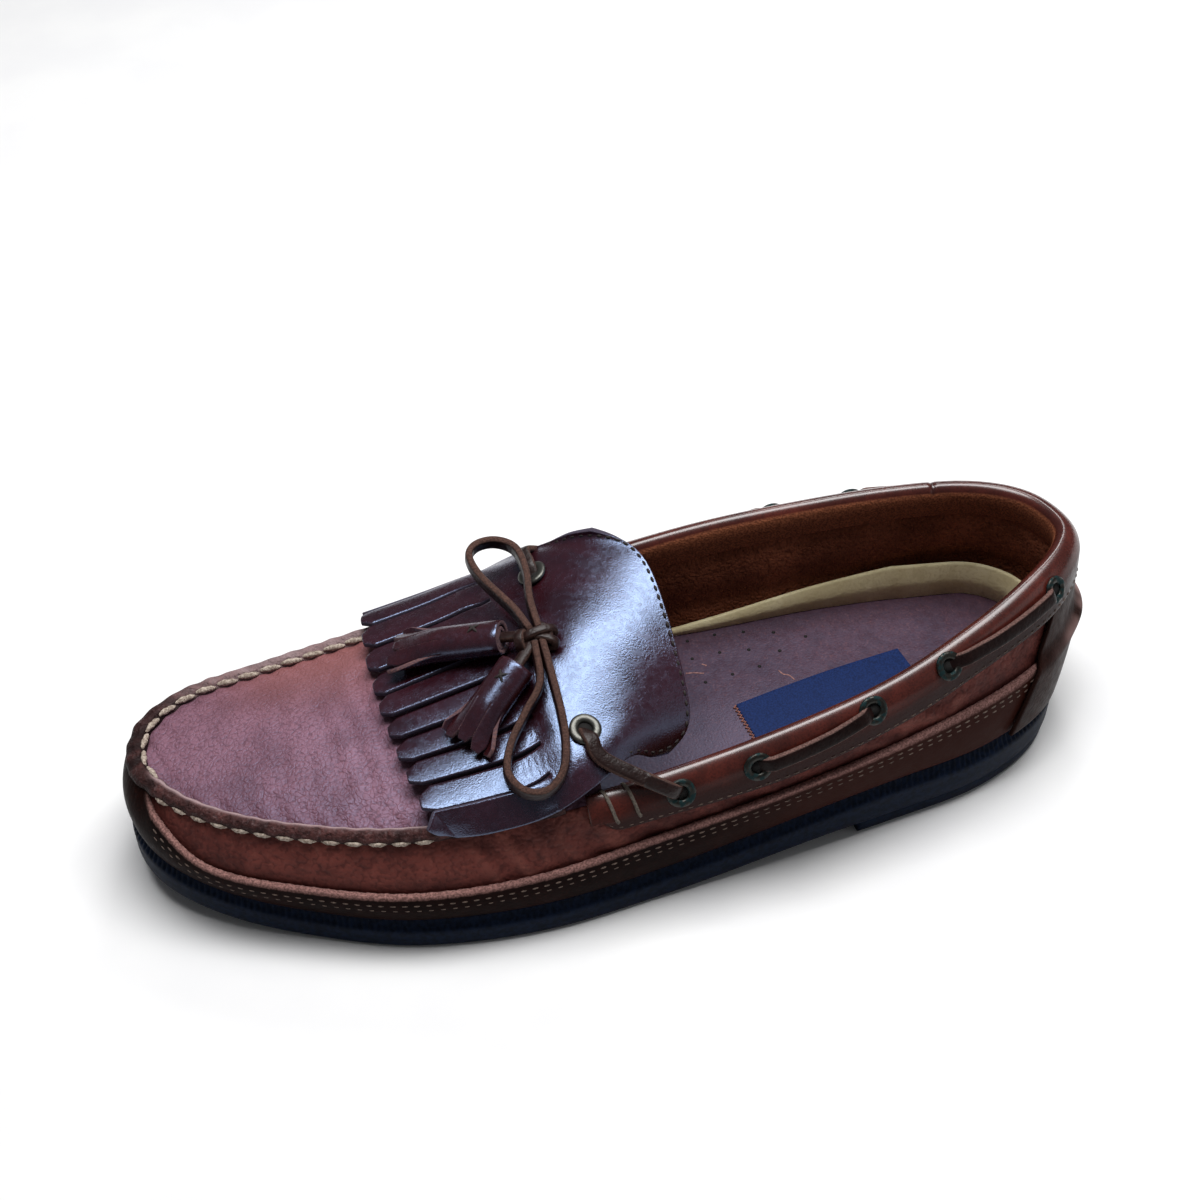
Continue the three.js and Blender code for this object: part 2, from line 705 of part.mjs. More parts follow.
function heelCup() {
  const loops = [];
  for (const angle of angleSpan(CUP_HALF_ANGLE)) {
    const taper = Math.min((CUP_HALF_ANGLE - Math.abs(angle)) / CUP_TAPER_ANGLE, 1);
    const floor = insoleTop(wallPoint(angle, 0).x) + GAP;
    const heights = [floor, floor + CUP_END_HEIGHT + CUP_HEIGHT * taper];
    const fade = smoothStep(Math.abs(angle), CUP_FADE_START, CUP_FADE_END);
    const clearance = mix(CUP_CLEARANCE, CUP_END_CLEARANCE, fade);
    const outside = heights.map((height) => insideAt(angle, height, clearance));
    const inside = heights.map((height) => insideAt(angle, height, clearance + CUP_WALL));
    loops.push([...outside, ...inside.reverse()]);
  }
  return loopSolid(loops, false);
}

// Kiltie and tongue
function kiltiePlace(row, across) {
  const last = KILTIE.length - 1;
  const low = Math.min(Math.floor(row), last - 1);
  const pick = (index) => KILTIE[Math.min(Math.max(index, 0), last)];
  const along = (read) =>
    cubicThrough(read(pick(low - 1)), read(pick(low)), read(pick(low + 1)), read(pick(low + 2)), row - low);
  const columns = (key) => KILTIE_PLACES.map((place) => along((entry) => entry[key][place]));
  const seat = Math.min(Math.floor(across * KILTIE_SPANS), KILTIE_SPANS - 1);
  const through = (list) => {
    const at = (index) => {
      if (index < 0) {
        return 2 * list[0] - list[1];
      }
      return index > KILTIE_SPANS ? 2 * list[KILTIE_SPANS] - list[KILTIE_SPANS - 1] : list[index];
    };
    return cubicThrough(at(seat - 1), at(seat), at(seat + 1), at(seat + 2), across * KILTIE_SPANS - seat);
  };
  const side = 2 * across - 1;
  const pull = along((entry) => (side < 0 ? entry.nearPull : entry.farPull));
  const x = along((entry) => entry.x) - pull * Math.pow(Math.abs(side), KILTIE_PULL_POWER);
  return vec(x, through(columns("y")), through(columns("z")));
}

function kiltieNormal(row, across) {
  const alongRow = kiltiePlace(row + ROW_STEP, across).sub(kiltiePlace(row - ROW_STEP, across));
  const acrossRow = kiltiePlace(row, across + ACROSS_STEP).sub(kiltiePlace(row, across - ACROSS_STEP));
  return alongRow.cross(acrossRow).normalize();
}

function kiltieAt(row, across, offset) {
  return kiltiePlace(row, across).addScaledVector(kiltieNormal(row, across), offset);
}

function kiltiePatch(rows, acrossAt) {
  const loops = rows.map((row) => {
    const places = acrossAt(row);
    const under = places.map((across) => kiltieAt(row, across, -LEATHER / 2));
    const over = places.map((across) => kiltieAt(row, across, LEATHER / 2));
    return [...under, ...over.reverse()];
  });
  return loopSolid(loops, false);
}

function kiltie() {
  const last = KILTIE.length - 1;
  const bodyRows = evenSteps(KILTIE_ROOT, last - KILTIE_BACK_MARGIN, KILTIE_BODY_STEPS);
  const bodyAcross = evenSteps(FRINGE_START, FRINGE_END, KILTIE_ACROSS_STEPS);
  const pieces = [kiltiePatch(bodyRows, () => bodyAcross)];
  let start = FRINGE_START;
  for (const strip of FRINGE) {
    const near = start + FRINGE_SLIT / 2;
    const far = strip.end - FRINGE_SLIT / 2;
    const clip = FRINGE_CLIP * (far - near);
    const tip = FRINGE_ROWS[0] + strip.shorter;
    const rows = FRINGE_ROWS.map((row) => row + strip.shorter * (1 - row / KILTIE_ROOT));
    rows[0] = tip;
    const acrossAt = (row) => (row === tip ? [near + clip, far - clip] : [near, far]);
    pieces.push(kiltiePatch([...rows, KILTIE_ROOT + FRINGE_OVERLAP], acrossAt));
    start = strip.end;
  }
  return united(pieces);
}

// Eyelets: rings seated on the collar band and the kiltie
function eyeletRing(place, normal) {
  const half = EYELET_THICKNESS / 2;
  const profile = [
    new THREE.Vector2(EYELET_INNER, -half),
    new THREE.Vector2(EYELET_OUTER, -half),
    new THREE.Vector2(EYELET_OUTER - EYELET_OUTER_SLOPE, half),
    new THREE.Vector2(EYELET_INNER + EYELET_INNER_SLOPE, half),
    new THREE.Vector2(EYELET_INNER, -half),
  ];
  const ring = new THREE.LatheGeometry(profile, EYELET_SIDES);
  const turn = new THREE.Quaternion().setFromUnitVectors(vec(0, 1, 0), normal);
  ring.applyQuaternion(turn);
  const seated = place.clone().addScaledVector(normal, GAP + half);
  ring.translate(seated.x, seated.y, seated.z);
  return ring;
}

const sideAngle = (side, angle) => (side === "lateral" ? angle : 360 - angle);

// A place on the outside of the collar roll: on its upper slope, or on the face under its shoulder
function rollFace(angle, drop) {
  const { shoulder, top } = ROLL;
  const corner = collarAt(angle, shoulder.rise, shoulder.out);
  const past = -drop - shoulder.rise;
  if (past > 0) {
    return corner.lerp(collarAt(angle, top.rise, top.out), past / (top.rise - shoulder.rise));
  }
  const lowest = lastValue("band", angle) - lastValue("rise", angle);
  return corner.lerp(collarAt(angle, lowest, GAP + OVERLAY), past / (lowest - shoulder.rise));
}

function collarPlace(side, eyelet, offset) {
  const angle = sideAngle(side, eyelet.angle);
  const drop = side === "lateral" ? eyelet.drop : eyelet.drop + MEDIAL_DROP;
  const upward = rollFace(angle, drop - DROP_STEP).sub(rollFace(angle, drop + DROP_STEP));
  const around = rollFace(angle + AROUND_STEP, drop).sub(rollFace(angle - AROUND_STEP, drop));
  const normal = upward.cross(around).normalize();
  return rollFace(angle, drop).addScaledVector(normal, offset);
}

function collarEyelet(side, eyelet) {
  const place = collarPlace(side, eyelet, 0);
  const normal = collarPlace(side, eyelet, 1).sub(place).normalize();
  return eyeletRing(place, normal);
}

function kiltieEyelet(entry) {
  return eyeletRing(kiltieAt(entry.row, entry.across, LEATHER / 2), kiltieNormal(entry.row, entry.across));
}

// Lace bars between eyelets, and from each kiltie eyelet to the first collar eyelet
function collarBar(side, bar) {
  const from = EYELETS[bar.from];
  const to = EYELETS[bar.to];
  const places = BAR_PLACES.map((share) => {
    const between = { angle: mix(from.angle, to.angle, share), drop: mix(from.drop, to.drop, share) };
    return collarPlace(side, between, BAR_LIFT);
  });
  return tube(places, LACE_RADIUS, BAR_STEPS);
}

function kiltieBar(entry) {
  const lift = LEATHER / 2 + BAR_LIFT + GAP;
  const places = KILTIE_BAR_PLACES.map((place) =>
    kiltieAt(entry.row + place.rows, mix(entry.across, entry.edge, place.share), lift)
  );
  const end = collarPlace(entry.side, EYELETS[0], BAR_LIFT + 2 * GAP);
  return tube([...places, end], LACE_RADIUS, BAR_STEPS);
}

// Bow
function knot() {
  const lump = new THREE.SphereGeometry(1, KNOT_SIDES, KNOT_RINGS);
  lump.scale(KNOT.long, KNOT.wide, KNOT.high);
  lump.translate(KNOT.x, KNOT.y, KNOT.z);
  return lump;
}

function loop(places) {
  return tube(places.map((place) => vec(place.x, place.y, place.z)), LACE_RADIUS, LOOP_STEPS);
}

function tassel(entry) {
  const start = vec(...entry.start);
  const along = vec(...entry.end).sub(start);
  const headLength = along.length() * TASSEL_HEAD_SHARE;
  const stripLength = along.length() - headLength;
  along.normalize();
  const side = along.clone().cross(vec(0, 0, 1)).normalize();
  const up = side.clone().cross(along);
  const loops = TASSEL_HEAD.map((ring) =>
    Array.from({ length: TASSEL_SIDES }, (_, i) => {
      const turn = (2 * Math.PI * i) / TASSEL_SIDES;
      return start
        .clone()
        .addScaledVector(along, ring.at * headLength)
        .addScaledVector(side, ring.radius * Math.cos(turn))
        .addScaledVector(up, ring.radius * TASSEL_FLATTEN * Math.sin(turn));
    })
  );
  const pieces = [loopSolid(loops, false)];
  const frame = new THREE.Matrix4().makeBasis(side, along, up);
  const root = start.clone().addScaledVector(along, headLength);
  const { width, thickness, overlap, stagger } = TASSEL_STRIP;
  for (let strip = 0; strip < TASSEL_STRIPS; strip += 1) {
    const fan = (strip - (TASSEL_STRIPS - 1) / 2) * TASSEL_FAN;
    const blade = new THREE.BoxGeometry(width, stripLength + overlap, thickness);
    blade.translate(0, (stripLength - overlap) / 2, (strip % 2) * stagger);
    blade.rotateZ(-fan);
    blade.applyMatrix4(frame);
    blade.translate(root.x, root.y, root.z);
    pieces.push(blade);
  }
  return united(pieces);
}

// Assembly
const COLOURS = {
  rubber: 0x1a2130,
  upper: 0x6b3a2e,
  foxing: 0x3a211d,
  collar: 0x4a1f1a,
  kiltie: 0x42191a,
  insole: 0x33201d,
  cup: 0xa98f5a,
  eyelet: 0x4a4f4a,
  lace: 0x5a3524,
};

const loafer = new THREE.Group();

function addPart(name, geometry, colour) {
  geometry.deleteAttribute("uv");
  geometry.deleteAttribute("normal");
  geometry.translate(-CENTRE_X, -CENTRE_Y, 0);
  const merged = mergeVertices(geometry, WELD);
  merged.computeVertexNormals();
  const mesh = new THREE.Mesh(merged, new THREE.MeshStandardMaterial({ color: colour }));
  mesh.name = name;
  loafer.add(mesh);
}

addPart("outsole", outsole(), COLOURS.rubber);
addPart("upper", upper(), COLOURS.upper);
addPart("kiltie", kiltie(), COLOURS.kiltie);
addPart("insole", insole(), COLOURS.insole);
addPart("heel_cup", heelCup(), COLOURS.cup);
addPart("foxing", foxing(), COLOURS.foxing);
addPart("collar_band", collarBand(), COLOURS.collar);
addPart("heel_panel", heelPanel(), COLOURS.collar);
for (const side of ["lateral", "medial"]) {
  EYELETS.forEach((eyelet, index) => {
    addPart(`eyelet_${side}_${index + 1}`, collarEyelet(side, eyelet), COLOURS.eyelet);
  });
  LACE_BARS.forEach((bar, index) => {
    addPart(`lace_${side}_${index + 1}`, collarBar(side, bar), COLOURS.lace);
  });
}
for (const entry of KILTIE_EYELETS) {
  addPart(`eyelet_kiltie_${entry.side}`, kiltieEyelet(entry), COLOURS.eyelet);
  addPart(`lace_${entry.side}_front`, kiltieBar(entry), COLOURS.lace);
}
addPart("bow", united([knot(), loop(NEAR_LOOP), loop(FAR_LOOP)]), COLOURS.lace);
for (const entry of TASSELS) {
  addPart(entry.name, tassel(entry), COLOURS.kiltie);
}

export default loafer;
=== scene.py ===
"""Looks of the kiltie tassel loafer, left shoe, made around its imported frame."""
import math
from dataclasses import dataclass, field

import bpy
import numpy as np
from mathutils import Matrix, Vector


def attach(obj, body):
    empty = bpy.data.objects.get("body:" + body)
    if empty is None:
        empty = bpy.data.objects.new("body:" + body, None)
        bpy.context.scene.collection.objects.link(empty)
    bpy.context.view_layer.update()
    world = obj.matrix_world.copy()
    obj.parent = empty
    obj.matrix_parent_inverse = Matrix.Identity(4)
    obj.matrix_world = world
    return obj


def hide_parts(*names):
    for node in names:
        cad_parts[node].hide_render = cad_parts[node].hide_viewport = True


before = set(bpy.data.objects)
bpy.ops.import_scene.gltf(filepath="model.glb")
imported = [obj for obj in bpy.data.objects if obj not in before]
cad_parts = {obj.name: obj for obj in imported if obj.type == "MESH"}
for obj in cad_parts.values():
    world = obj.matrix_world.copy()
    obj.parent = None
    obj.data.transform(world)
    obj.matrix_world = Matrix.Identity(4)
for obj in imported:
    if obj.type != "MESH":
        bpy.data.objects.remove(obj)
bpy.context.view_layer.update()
rng = np.random.default_rng(7)

# Main sizes in millimetres, in the shoe's own frame: toe at -X, heel at +X, lateral side at -Y
CENTRE = np.array([1.4, -2.3, 0.0])
MM = 0.001
UP = np.array([0.0, 0.0, 1.0])
SOLE_HALF_LENGTH = 150
TOP_HALF_LENGTH = 145
TOP_MIDDLE_X = -1
FEATHER_INSET = 3.5
WALL = 2.2
GAP = 0.3

# Sole heights
FOREFOOT_LEDGE = 11
HEEL_LEDGE = 18.5
FOREFOOT_RIB = 6.5
HEEL_RIB = 14
RISE_START_X = -20
RISE_END_X = 80
SPRING_START_X = -90
SPRING_BOTTOM = 8.5
SPRING_TOP = 10
ARCH_START_X = -10
HEEL_BREAST_X = 63
HEEL_STEP = 4.5
HEEL_TOP = 9
SOLE_BEVEL = 1.5
RIB_PITCH = 1.9
RIB_DEPTH = 0.3
SOLE_END_ANGLE = 0.05

# Upper, overlays and fittings
SKIN = 1.1
OVERLAY = 2
FOXING_FOOT = 1.4
THROAT_ANGLE = 97
SEAM_ANGLE = 101.5
BAND_FRONT_ANGLE = 99
RIM_DROP = 3
RIM_FADE_ANGLE = 90
PANEL_TOP_ANGLE = 26
PANEL_FOOT_ANGLE = 40
INSOLE_THICKNESS = 3.5
INSOLE_CLEARANCE = 1
TOE_CLEARANCE = 4.5
CUP_WALL = 1.4
CUP_HALF_ANGLE = 82
CUP_TAPER_ANGLE = 36
CUP_CLEARANCE = 4.5
CUP_END_CLEARANCE = 1
CUP_FADE_START = 34
CUP_FADE_END = 62
CUP_HEIGHT = 11
LEATHER = 1.8
EYELET_OUTER = 4.4
EYELET_INNER = 2.1
LACE_WIDTH = 4.4
LACE_THICKNESS = 2.3
LOOP_WIDTH = 4.8
LOOP_THICKNESS = 2.4
TASSEL_CORD_WIDTH = 3.2
RIDGE_WIDTH = 2.4
RIDGE_TOE_WIDTH = 3.1
RIDGE_HEIGHT = 2.9
RIDGE_INSET = 1.5

# Sections of the last, one row for each 15 degrees: 0 heel back, 90 lateral, 180 toe, 270 medial.
# edge: sole edge Y. top: Y of the seam or collar line. rise: its height. belly: bulge of the wall.
# fox: height of the foxing's upper edge. band: height of the collar band's lower edge.
LAST_STEP = 15
LAST_COLUMNS = ("edge", "top", "rise", "belly", "fox", "band")
LAST_ROWS = (
    (-1, -2.5, 67, 3.5, 37, 52),
    (-16, -12.7, 66.3, 3, 37.4, 52),
    (-34.2, -22.6, 64.4, 2.7, 37.9, 51.5),
    (-45, -33.2, 60.7, 2.2, 37.4, 49.5),
    (-49.4, -42.6, 55.6, 2.1, 35, 43.6),
    (-52.8, -47, 50.2, 2.2, 31, 37.2),
    (-55.8, -48.2, 44.6, 2.3, 27, 34.2),
    (-58, -47.5, 40.2, 2.8, 23.4, 32),
    (-52.9, -43, 37.6, 3.4, 22.3, 31),
    (-40.2, -32.4, 37.2, 3.7, 23, 30.5),
    (-27.3, -19.2, 37.2, 4, 25.2, 30),
    (-13.3, -3.7, 36.7, 2.4, 33.2, 30),
    (3.8, 9.2, 36, 1.8, 32.5, 30),
    (23, 24, 35.6, 2.2, 32, 30),
    (38.5, 33.8, 35, 4, 25.2, 30),
    (49.3, 38, 35, 4.2, 22.5, 30),
    (54.6, 39.8, 37.9, 4, 22, 30),
    (51.8, 39.8, 43.9, 3.5, 23, 32),
    (43, 38.6, 52, 3, 26.5, 37),
    (35.5, 36.2, 59, 2.5, 30.5, 43),
    (32, 32.7, 62.8, 2.8, 34.5, 48),
    (31, 29.3, 64.2, 3, 36.8, 50.8),
    (28, 23.8, 65, 3.2, 37.4, 51.8),
    (16, 13, 66.2, 3.4, 37.2, 52),
)
LAST = dict(zip(LAST_COLUMNS, np.array(LAST_ROWS, float).T))

# Dome of the plug over the line between the two seams
PLUG_X = (-146, -125, -100, -70, -45, -22, -12, 0)
PLUG_CROWN = (0, 3.5, 6, 7, 10, 13, 11, 0)

# Kiltie and tongue, one row for each section from the fringe's ends to the tongue's back edge.
# Five places across: near edge, near shoulder, middle, far shoulder, far edge.
KILTIE_X = np.array([-73, -52, -36, -22, -8, 5, 14], float)
KILTIE_Y = np.array([
    [-48.5, -41, -2, 36.5, 46],
    [-51, -43, -2, 37.5, 46.5],
    [-51.5, -43, -2, 37.5, 46],
    [-48.5, -36.5, -2, 31, 44.5],
    [-40.5, -31.5, -4, 24, 38.5],
    [-38, -29.5, -7, 16, 34.5],
    [-36, -28, -9, 12, 30],
])
KILTIE_Z = np.array([
    [39.8, 44.6, 47.6, 45, 42],
    [42, 47.2, 53.2, 48.5, 44],
    [44.2, 50, 57.8, 53, 47],
    [48, 55.4, 63.5, 60.5, 54],
    [48.5, 55.5, 66.5, 68, 63],
    [43.5, 52, 65.5, 71.5, 70],
    [41, 49.8, 62.8, 71.5, 74.5],
])
NEAR_PULL = np.array([-8, 0, 0, 0, 1, 7, 11], float)
FAR_PULL = np.array([-9, 0, 0, 0, 5, 12, 15], float)
KILTIE_ROOT = 2.25
FRINGE_START = 0.01
FRINGE_SLIT = 0.01
FRINGE_CLIP = 0.3
FRINGE_CLIP_ROW = 0.2
NEAR_DROOP = 4.8
NEAR_STRIP_LIFT = 1.0

# Strips of the fringe from the near side: where each ends across the kiltie,
# and how much shorter it is, in rows
FRINGE = (
    (0.25, 0.2), (0.323, 0.24), (0.377, 0.17), (0.427, 0.11), (0.476, 0.06), (0.534, 0.02), (0.592, 0.0),
    (0.657, 0.02), (0.735, 0.08), (0.87, 0.12), (0.99, 0.0),
)

# Eyelets of the collar: angle on the lateral side and drop below the collar line
EYELETS = ((88.4, 3.3), (79.2, 3.6), (64, 1.5), (52, 1.5), (26.7, 4.2))
MEDIAL_DROP = 4
LACE_BARS = ((1, 2), (3, 4))
KILTIE_EYELETS = {
    "lateral": {"row": 3.15, "across": 0.272, "edge": 0.03},
    "medial": {"row": 3.24, "across": 0.71, "edge": 0.97},
}

# Bow: knot, loops and tassels
KNOT = np.array([-25.5, -4, 67.6])
NEAR_LOOP = (
    (-27, -6, 67), (-28.7, -18, 63), (-35, -25, 59.2), (-41, -32, 56.2), (-44.3, -40, 53.6),
    (-41.5, -46.5, 52), (-35.5, -48.5, 51.8), (-30, -45.5, 54.2), (-27, -39, 57.4),
    (-25.6, -30, 60.6), (-25, -18, 64), (-24.6, -6, 67),
)
FAR_LOOP = (
    (-27, -1.5, 67.4), (-29, 8, 67.2), (-31.5, 15, 67), (-35.6, 25, 67.6), (-37, 32, 69.6),
    (-33.5, 36.5, 69.6), (-27.5, 36.5, 69.6), (-22.8, 31, 70), (-22.2, 21, 69.6),
    (-24, 10, 68.4), (-24.4, -1.5, 67.4),
)
TASSELS = {
    "near": {"start": (-33.5, -11.2, 64.9), "end": (-54, -26, 53.8)},
    "far": {"start": (-34.8, 1, 65.2), "end": (-65.2, 16.4, 53.4)},
}

# Camera at the photograph's angle
CAMERA_PLACE = (-0.1153, -0.3593, 0.4430)
CAMERA_AZIMUTH = -16.72
CAMERA_ELEVATION = 44.42
CAMERA_LENS = 54.3


# Small steps for taking slopes: degrees round the last, shares of the wall, rows and places of the kiltie
EDGE_STEP = 2
AROUND_STEP = 1.5
SHARE_STEP = 0.02
ROW_STEP = 0.02
ACROSS_STEP = 0.01


# Small maths
def mix(a, b, share):
    return a + (b - a) * share


def unit(vectors):
    return vectors / np.linalg.norm(vectors, axis=-1, keepdims=True)


def smooth_step(value, start, end):
    share = np.clip((value - start) / (end - start), 0, 1)
    return share * share * (3 - 2 * share)


def bell(distance, width):
    return np.exp(-((distance / width) ** 2))


def cubic_through(a, b, c, d, share):
    slope_b = (c - a) / 2
    slope_c = (d - b) / 2
    square = share * share
    cube = square * share
    return (
        b * (2 * cube - 3 * square + 1)
        + slope_b * (cube - 2 * square + share)
        + c * (3 * square - 2 * cube)
        + slope_c * (cube - square)
    )


def cubic_at(values, turn):
    """Cubic curve through the rows of values, at places counted in rows."""
    wide = np.concatenate([2 * values[:1] - values[1:2], values, 2 * values[-1:] - values[-2:-1]])
    low = np.minimum(turn.astype(int), len(values) - 2)
    picks = [wide[low + step] for step in range(4)]
    return cubic_through(*picks, (turn - low)[:, None])


def length_along(curve):
    steps = np.linalg.norm(np.diff(curve, axis=0), axis=1)
    return np.concatenate([[0], np.cumsum(steps)])


def at_lengths(along, values, lengths):
    """The rows of values at given lengths along their curve."""
    return np.stack([np.interp(lengths, along, column) for column in values.T], -1)


def curve_through(places, count):
    """A smooth open curve of count points through the places, evenly spaced along its length."""
    fine = 8 * count
    curve = cubic_at(np.asarray(places, float), np.linspace(0, len(places) - 1, fine))
    along = length_along(curve)
    return at_lengths(along, curve, np.linspace(0, along[-1], count))


def round_turns(count):
    """Angles of count places evenly round a circle."""
    return 2 * np.pi * np.arange(count) / count


def raised(flat, height):
    """Places in the plane, lifted to a height."""
    return np.concatenate([flat, np.broadcast_to(height, flat.shape[:-1])[..., None]], -1)


def segment_distance(x, y, start, end):
    """Distance from each place to a line between two places, in the plane."""
    start = np.asarray(start, float)
    line = np.asarray(end, float) - start
    share = ((x - start[0]) * line[0] + (y - start[1]) * line[1]) / (line @ line)
    share = np.clip(share, 0, 1)
    return np.hypot(x - start[0] - share * line[0], y - start[1] - share * line[1])


# The ridges beside a crease: their distance in widths, and their height as a share of the depth
CREASE_RIDGE_PLACE = 1.9
CREASE_RIDGE_SHARE = 0.45


def crease(distance, width, depth):
    """A soft trough with a low ridge along each side."""
    ridge = CREASE_RIDGE_SHARE * bell(distance - CREASE_RIDGE_PLACE * width, width)
    return depth * (ridge - bell(distance, width))


def creased(x, y, creases):
    """Relief of creases, each with a start and an end in the plane, a width and a depth."""
    return sum(crease(segment_distance(x, y, start, end), *size) for start, end, *size in creases)


# The last: sole edge, top line and wall
def last_value(column, angle):
    turn = np.mod(angle, 360) / LAST_STEP
    low = np.floor(turn).astype(int)
    values = LAST[column]
    a, b, c, d = (values[(low + step) % len(values)] for step in (-1, 0, 1, 2))
    return cubic_through(a, b, c, d, turn - low)


def edge_point(angle):
    return np.stack([SOLE_HALF_LENGTH * np.cos(np.radians(angle)), last_value("edge", angle)], -1)


def edge_outward(angle):
    along = edge_point(angle + EDGE_STEP) - edge_point(angle - EDGE_STEP)
    return unit(np.stack([-along[..., 1], along[..., 0]], -1))


def sole_edge(angle, inset):
    return edge_point(angle) - edge_outward(angle) * np.asarray(inset)[..., None]


def toe_spring(x, height):
    share = np.maximum((SPRING_START_X - x) / (SPRING_START_X + SOLE_HALF_LENGTH), 0)
    return height * share * share


def sole_level(x, forefoot, heel):
    return mix(forefoot, heel, smooth_step(x, RISE_START_X, RISE_END_X)) + toe_spring(x, SPRING_TOP)


def ledge_height(x):
    return sole_level(x, FOREFOOT_LEDGE, HEEL_LEDGE)


def rib_height(x):
    return sole_level(x, FOREFOOT_RIB, HEEL_RIB)


def bottom_height(x):
    return HEEL_STEP * smooth_step(x, ARCH_START_X, HEEL_BREAST_X) + toe_spring(x, SPRING_BOTTOM)


def top_point(angle):
    x = TOP_MIDDLE_X + TOP_HALF_LENGTH * np.cos(np.radians(angle))
    return np.stack([x, last_value("top", angle), last_value("rise", angle)], -1)


def wall_point(angle, share):
    angle, share = np.broadcast_arrays(np.asarray(angle, float), np.asarray(share, float))
    foot = sole_edge(angle, FEATHER_INSET)
    foot_height = ledge_height(foot[..., 0]) + GAP
    top = top_point(angle)
    belly = (foot + top[..., :2]) / 2 + edge_outward(angle) * 2 * last_value("belly", angle)[..., None]
    part = np.minimum(share, 1)[..., None]
    past = np.maximum(share - 1, 0)[..., None]
    flat = (1 - part) ** 2 * foot + 2 * part * (1 - part) * belly + part**2 * top[..., :2]
    flat = flat + 2 * past * (top[..., :2] - belly)
    height = mix(foot_height, top[..., 2], share)
    return raised(flat, height)


def wall_normal(angle, share):
    around = wall_point(angle + AROUND_STEP, share) - wall_point(angle - AROUND_STEP, share)
    upward = wall_point(angle, share + SHARE_STEP) - wall_point(angle, share - SHARE_STEP)
    return unit(np.cross(upward, around))


def wall_at(angle, share, offset):
    angle, share, offset = np.broadcast_arrays(angle, share, offset)
    return wall_point(angle, share) + wall_normal(angle, share) * offset[..., None]


def wall_height(angle):
    return top_point(angle)[..., 2] - wall_point(angle, np.zeros_like(angle))[..., 2]


def share_at_height(angle, height):
    return (height - wall_point(angle, np.zeros_like(angle))[..., 2]) / wall_height(angle)


def collar_at(angle, rise, out):
    return wall_at(angle, 1 + rise / wall_height(angle), out)


def rim_drop(angle):
    turn = np.minimum(np.mod(angle, 360), 360 - np.mod(angle, 360))
    return RIM_DROP * (1 - smooth_step(turn, RIM_FADE_ANGLE, BAND_FRONT_ANGLE))


def inside_at(angle, height, clearance):
    share = share_at_height(angle, height)
    for _ in range(4):
        place = wall_at(angle, share, -WALL - clearance)
        share = share + (height - place[..., 2]) / wall_height(angle)
    return wall_at(angle, share, -WALL - clearance)


def insole_top(x):
    return ledge_height(x) + GAP + INSOLE_THICKNESS


# Kiltie surface
def kiltie_place(row, across):
    row, across = np.broadcast_arrays(np.asarray(row, float), np.asarray(across, float))
    last = len(KILTIE_X) - 1
    low = np.clip(np.floor(row).astype(int), 0, last - 1)
    share = row - low

    def along(values):
        picks = [values[np.clip(low + step, 0, last)] for step in (-1, 0, 1, 2)]
        part = share.reshape(share.shape + (1,) * (picks[0].ndim - share.ndim))
        return cubic_through(*picks, part)

    seat = np.clip(np.floor(across * 4).astype(int), 0, 3)

    def through(table):
        columns = along(table)
        before = 2 * columns[..., :1] - columns[..., 1:2]
        after = 2 * columns[..., -1:] - columns[..., -2:-1]
        wide = np.concatenate([before, columns, after], -1)
        picks = [np.take_along_axis(wide, (seat + step)[..., None], -1)[..., 0] for step in range(4)]
        return cubic_through(*picks, across * 4 - seat)

    side = 2 * across - 1
    pull = np.where(side < 0, along(NEAR_PULL), along(FAR_PULL))
    x = along(KILTIE_X) - pull * np.abs(side) ** 4
    return np.stack([x, through(KILTIE_Y), through(KILTIE_Z)], -1)


def kiltie_normal(row, across):
    along_row = kiltie_place(row + ROW_STEP, across) - kiltie_place(row - ROW_STEP, across)
    across_row = kiltie_place(row, across + ACROSS_STEP) - kiltie_place(row, across - ACROSS_STEP)
    return unit(np.cross(along_row, across_row))


def kiltie_at(row, across, offset):
    row, across, offset = np.broadcast_arrays(*(np.asarray(v, float) for v in (row, across, offset)))
    return kiltie_place(row, across) + kiltie_normal(row, across) * offset[..., None]


# Meshes
@dataclass
class Skin:
    """Points, four-cornered faces, and named values for each point that the materials read."""
    points: np.ndarray
    quads: np.ndarray
    marks: dict = field(default_factory=dict)


def turned_out(skin):
    a, b, c, d = (skin.points[skin.quads[:, corner]] for corner in range(4))
    volume = np.einsum("ij,ij->", a, np.cross(b, c)) + np.einsum("ij,ij->", a, np.cross(c, d))
    if volume < 0:
        skin.quads = skin.quads[:, ::-1]
    return skin


def cap_quads(around):
    return np.array([(j, j + 1, around - 2 - j, around - 1 - j) for j in range(around // 2 - 1)])


def sweep(sections, closed=False, **marks):
    """Closed skin through loops of points, one loop for each place along."""
    count, around = sections.shape[:2]
    ids = np.arange(count * around).reshape(count, around)
    rows = np.concatenate([ids, ids[:1]]) if closed else ids
    here, beyond = rows[:-1], rows[1:]
    corners = [here, np.roll(here, -1, 1), np.roll(beyond, -1, 1), beyond]
    quads = np.stack(corners, -1).reshape(-1, 4)
    if not closed:
        cap = cap_quads(around)
        quads = np.concatenate([quads, ids[0][cap][:, ::-1], ids[-1][cap]])
    flat_marks = {name: np.broadcast_to(value, (count, around)).ravel() for name, value in marks.items()}
    return turned_out(Skin(sections.reshape(-1, 3), quads, flat_marks))


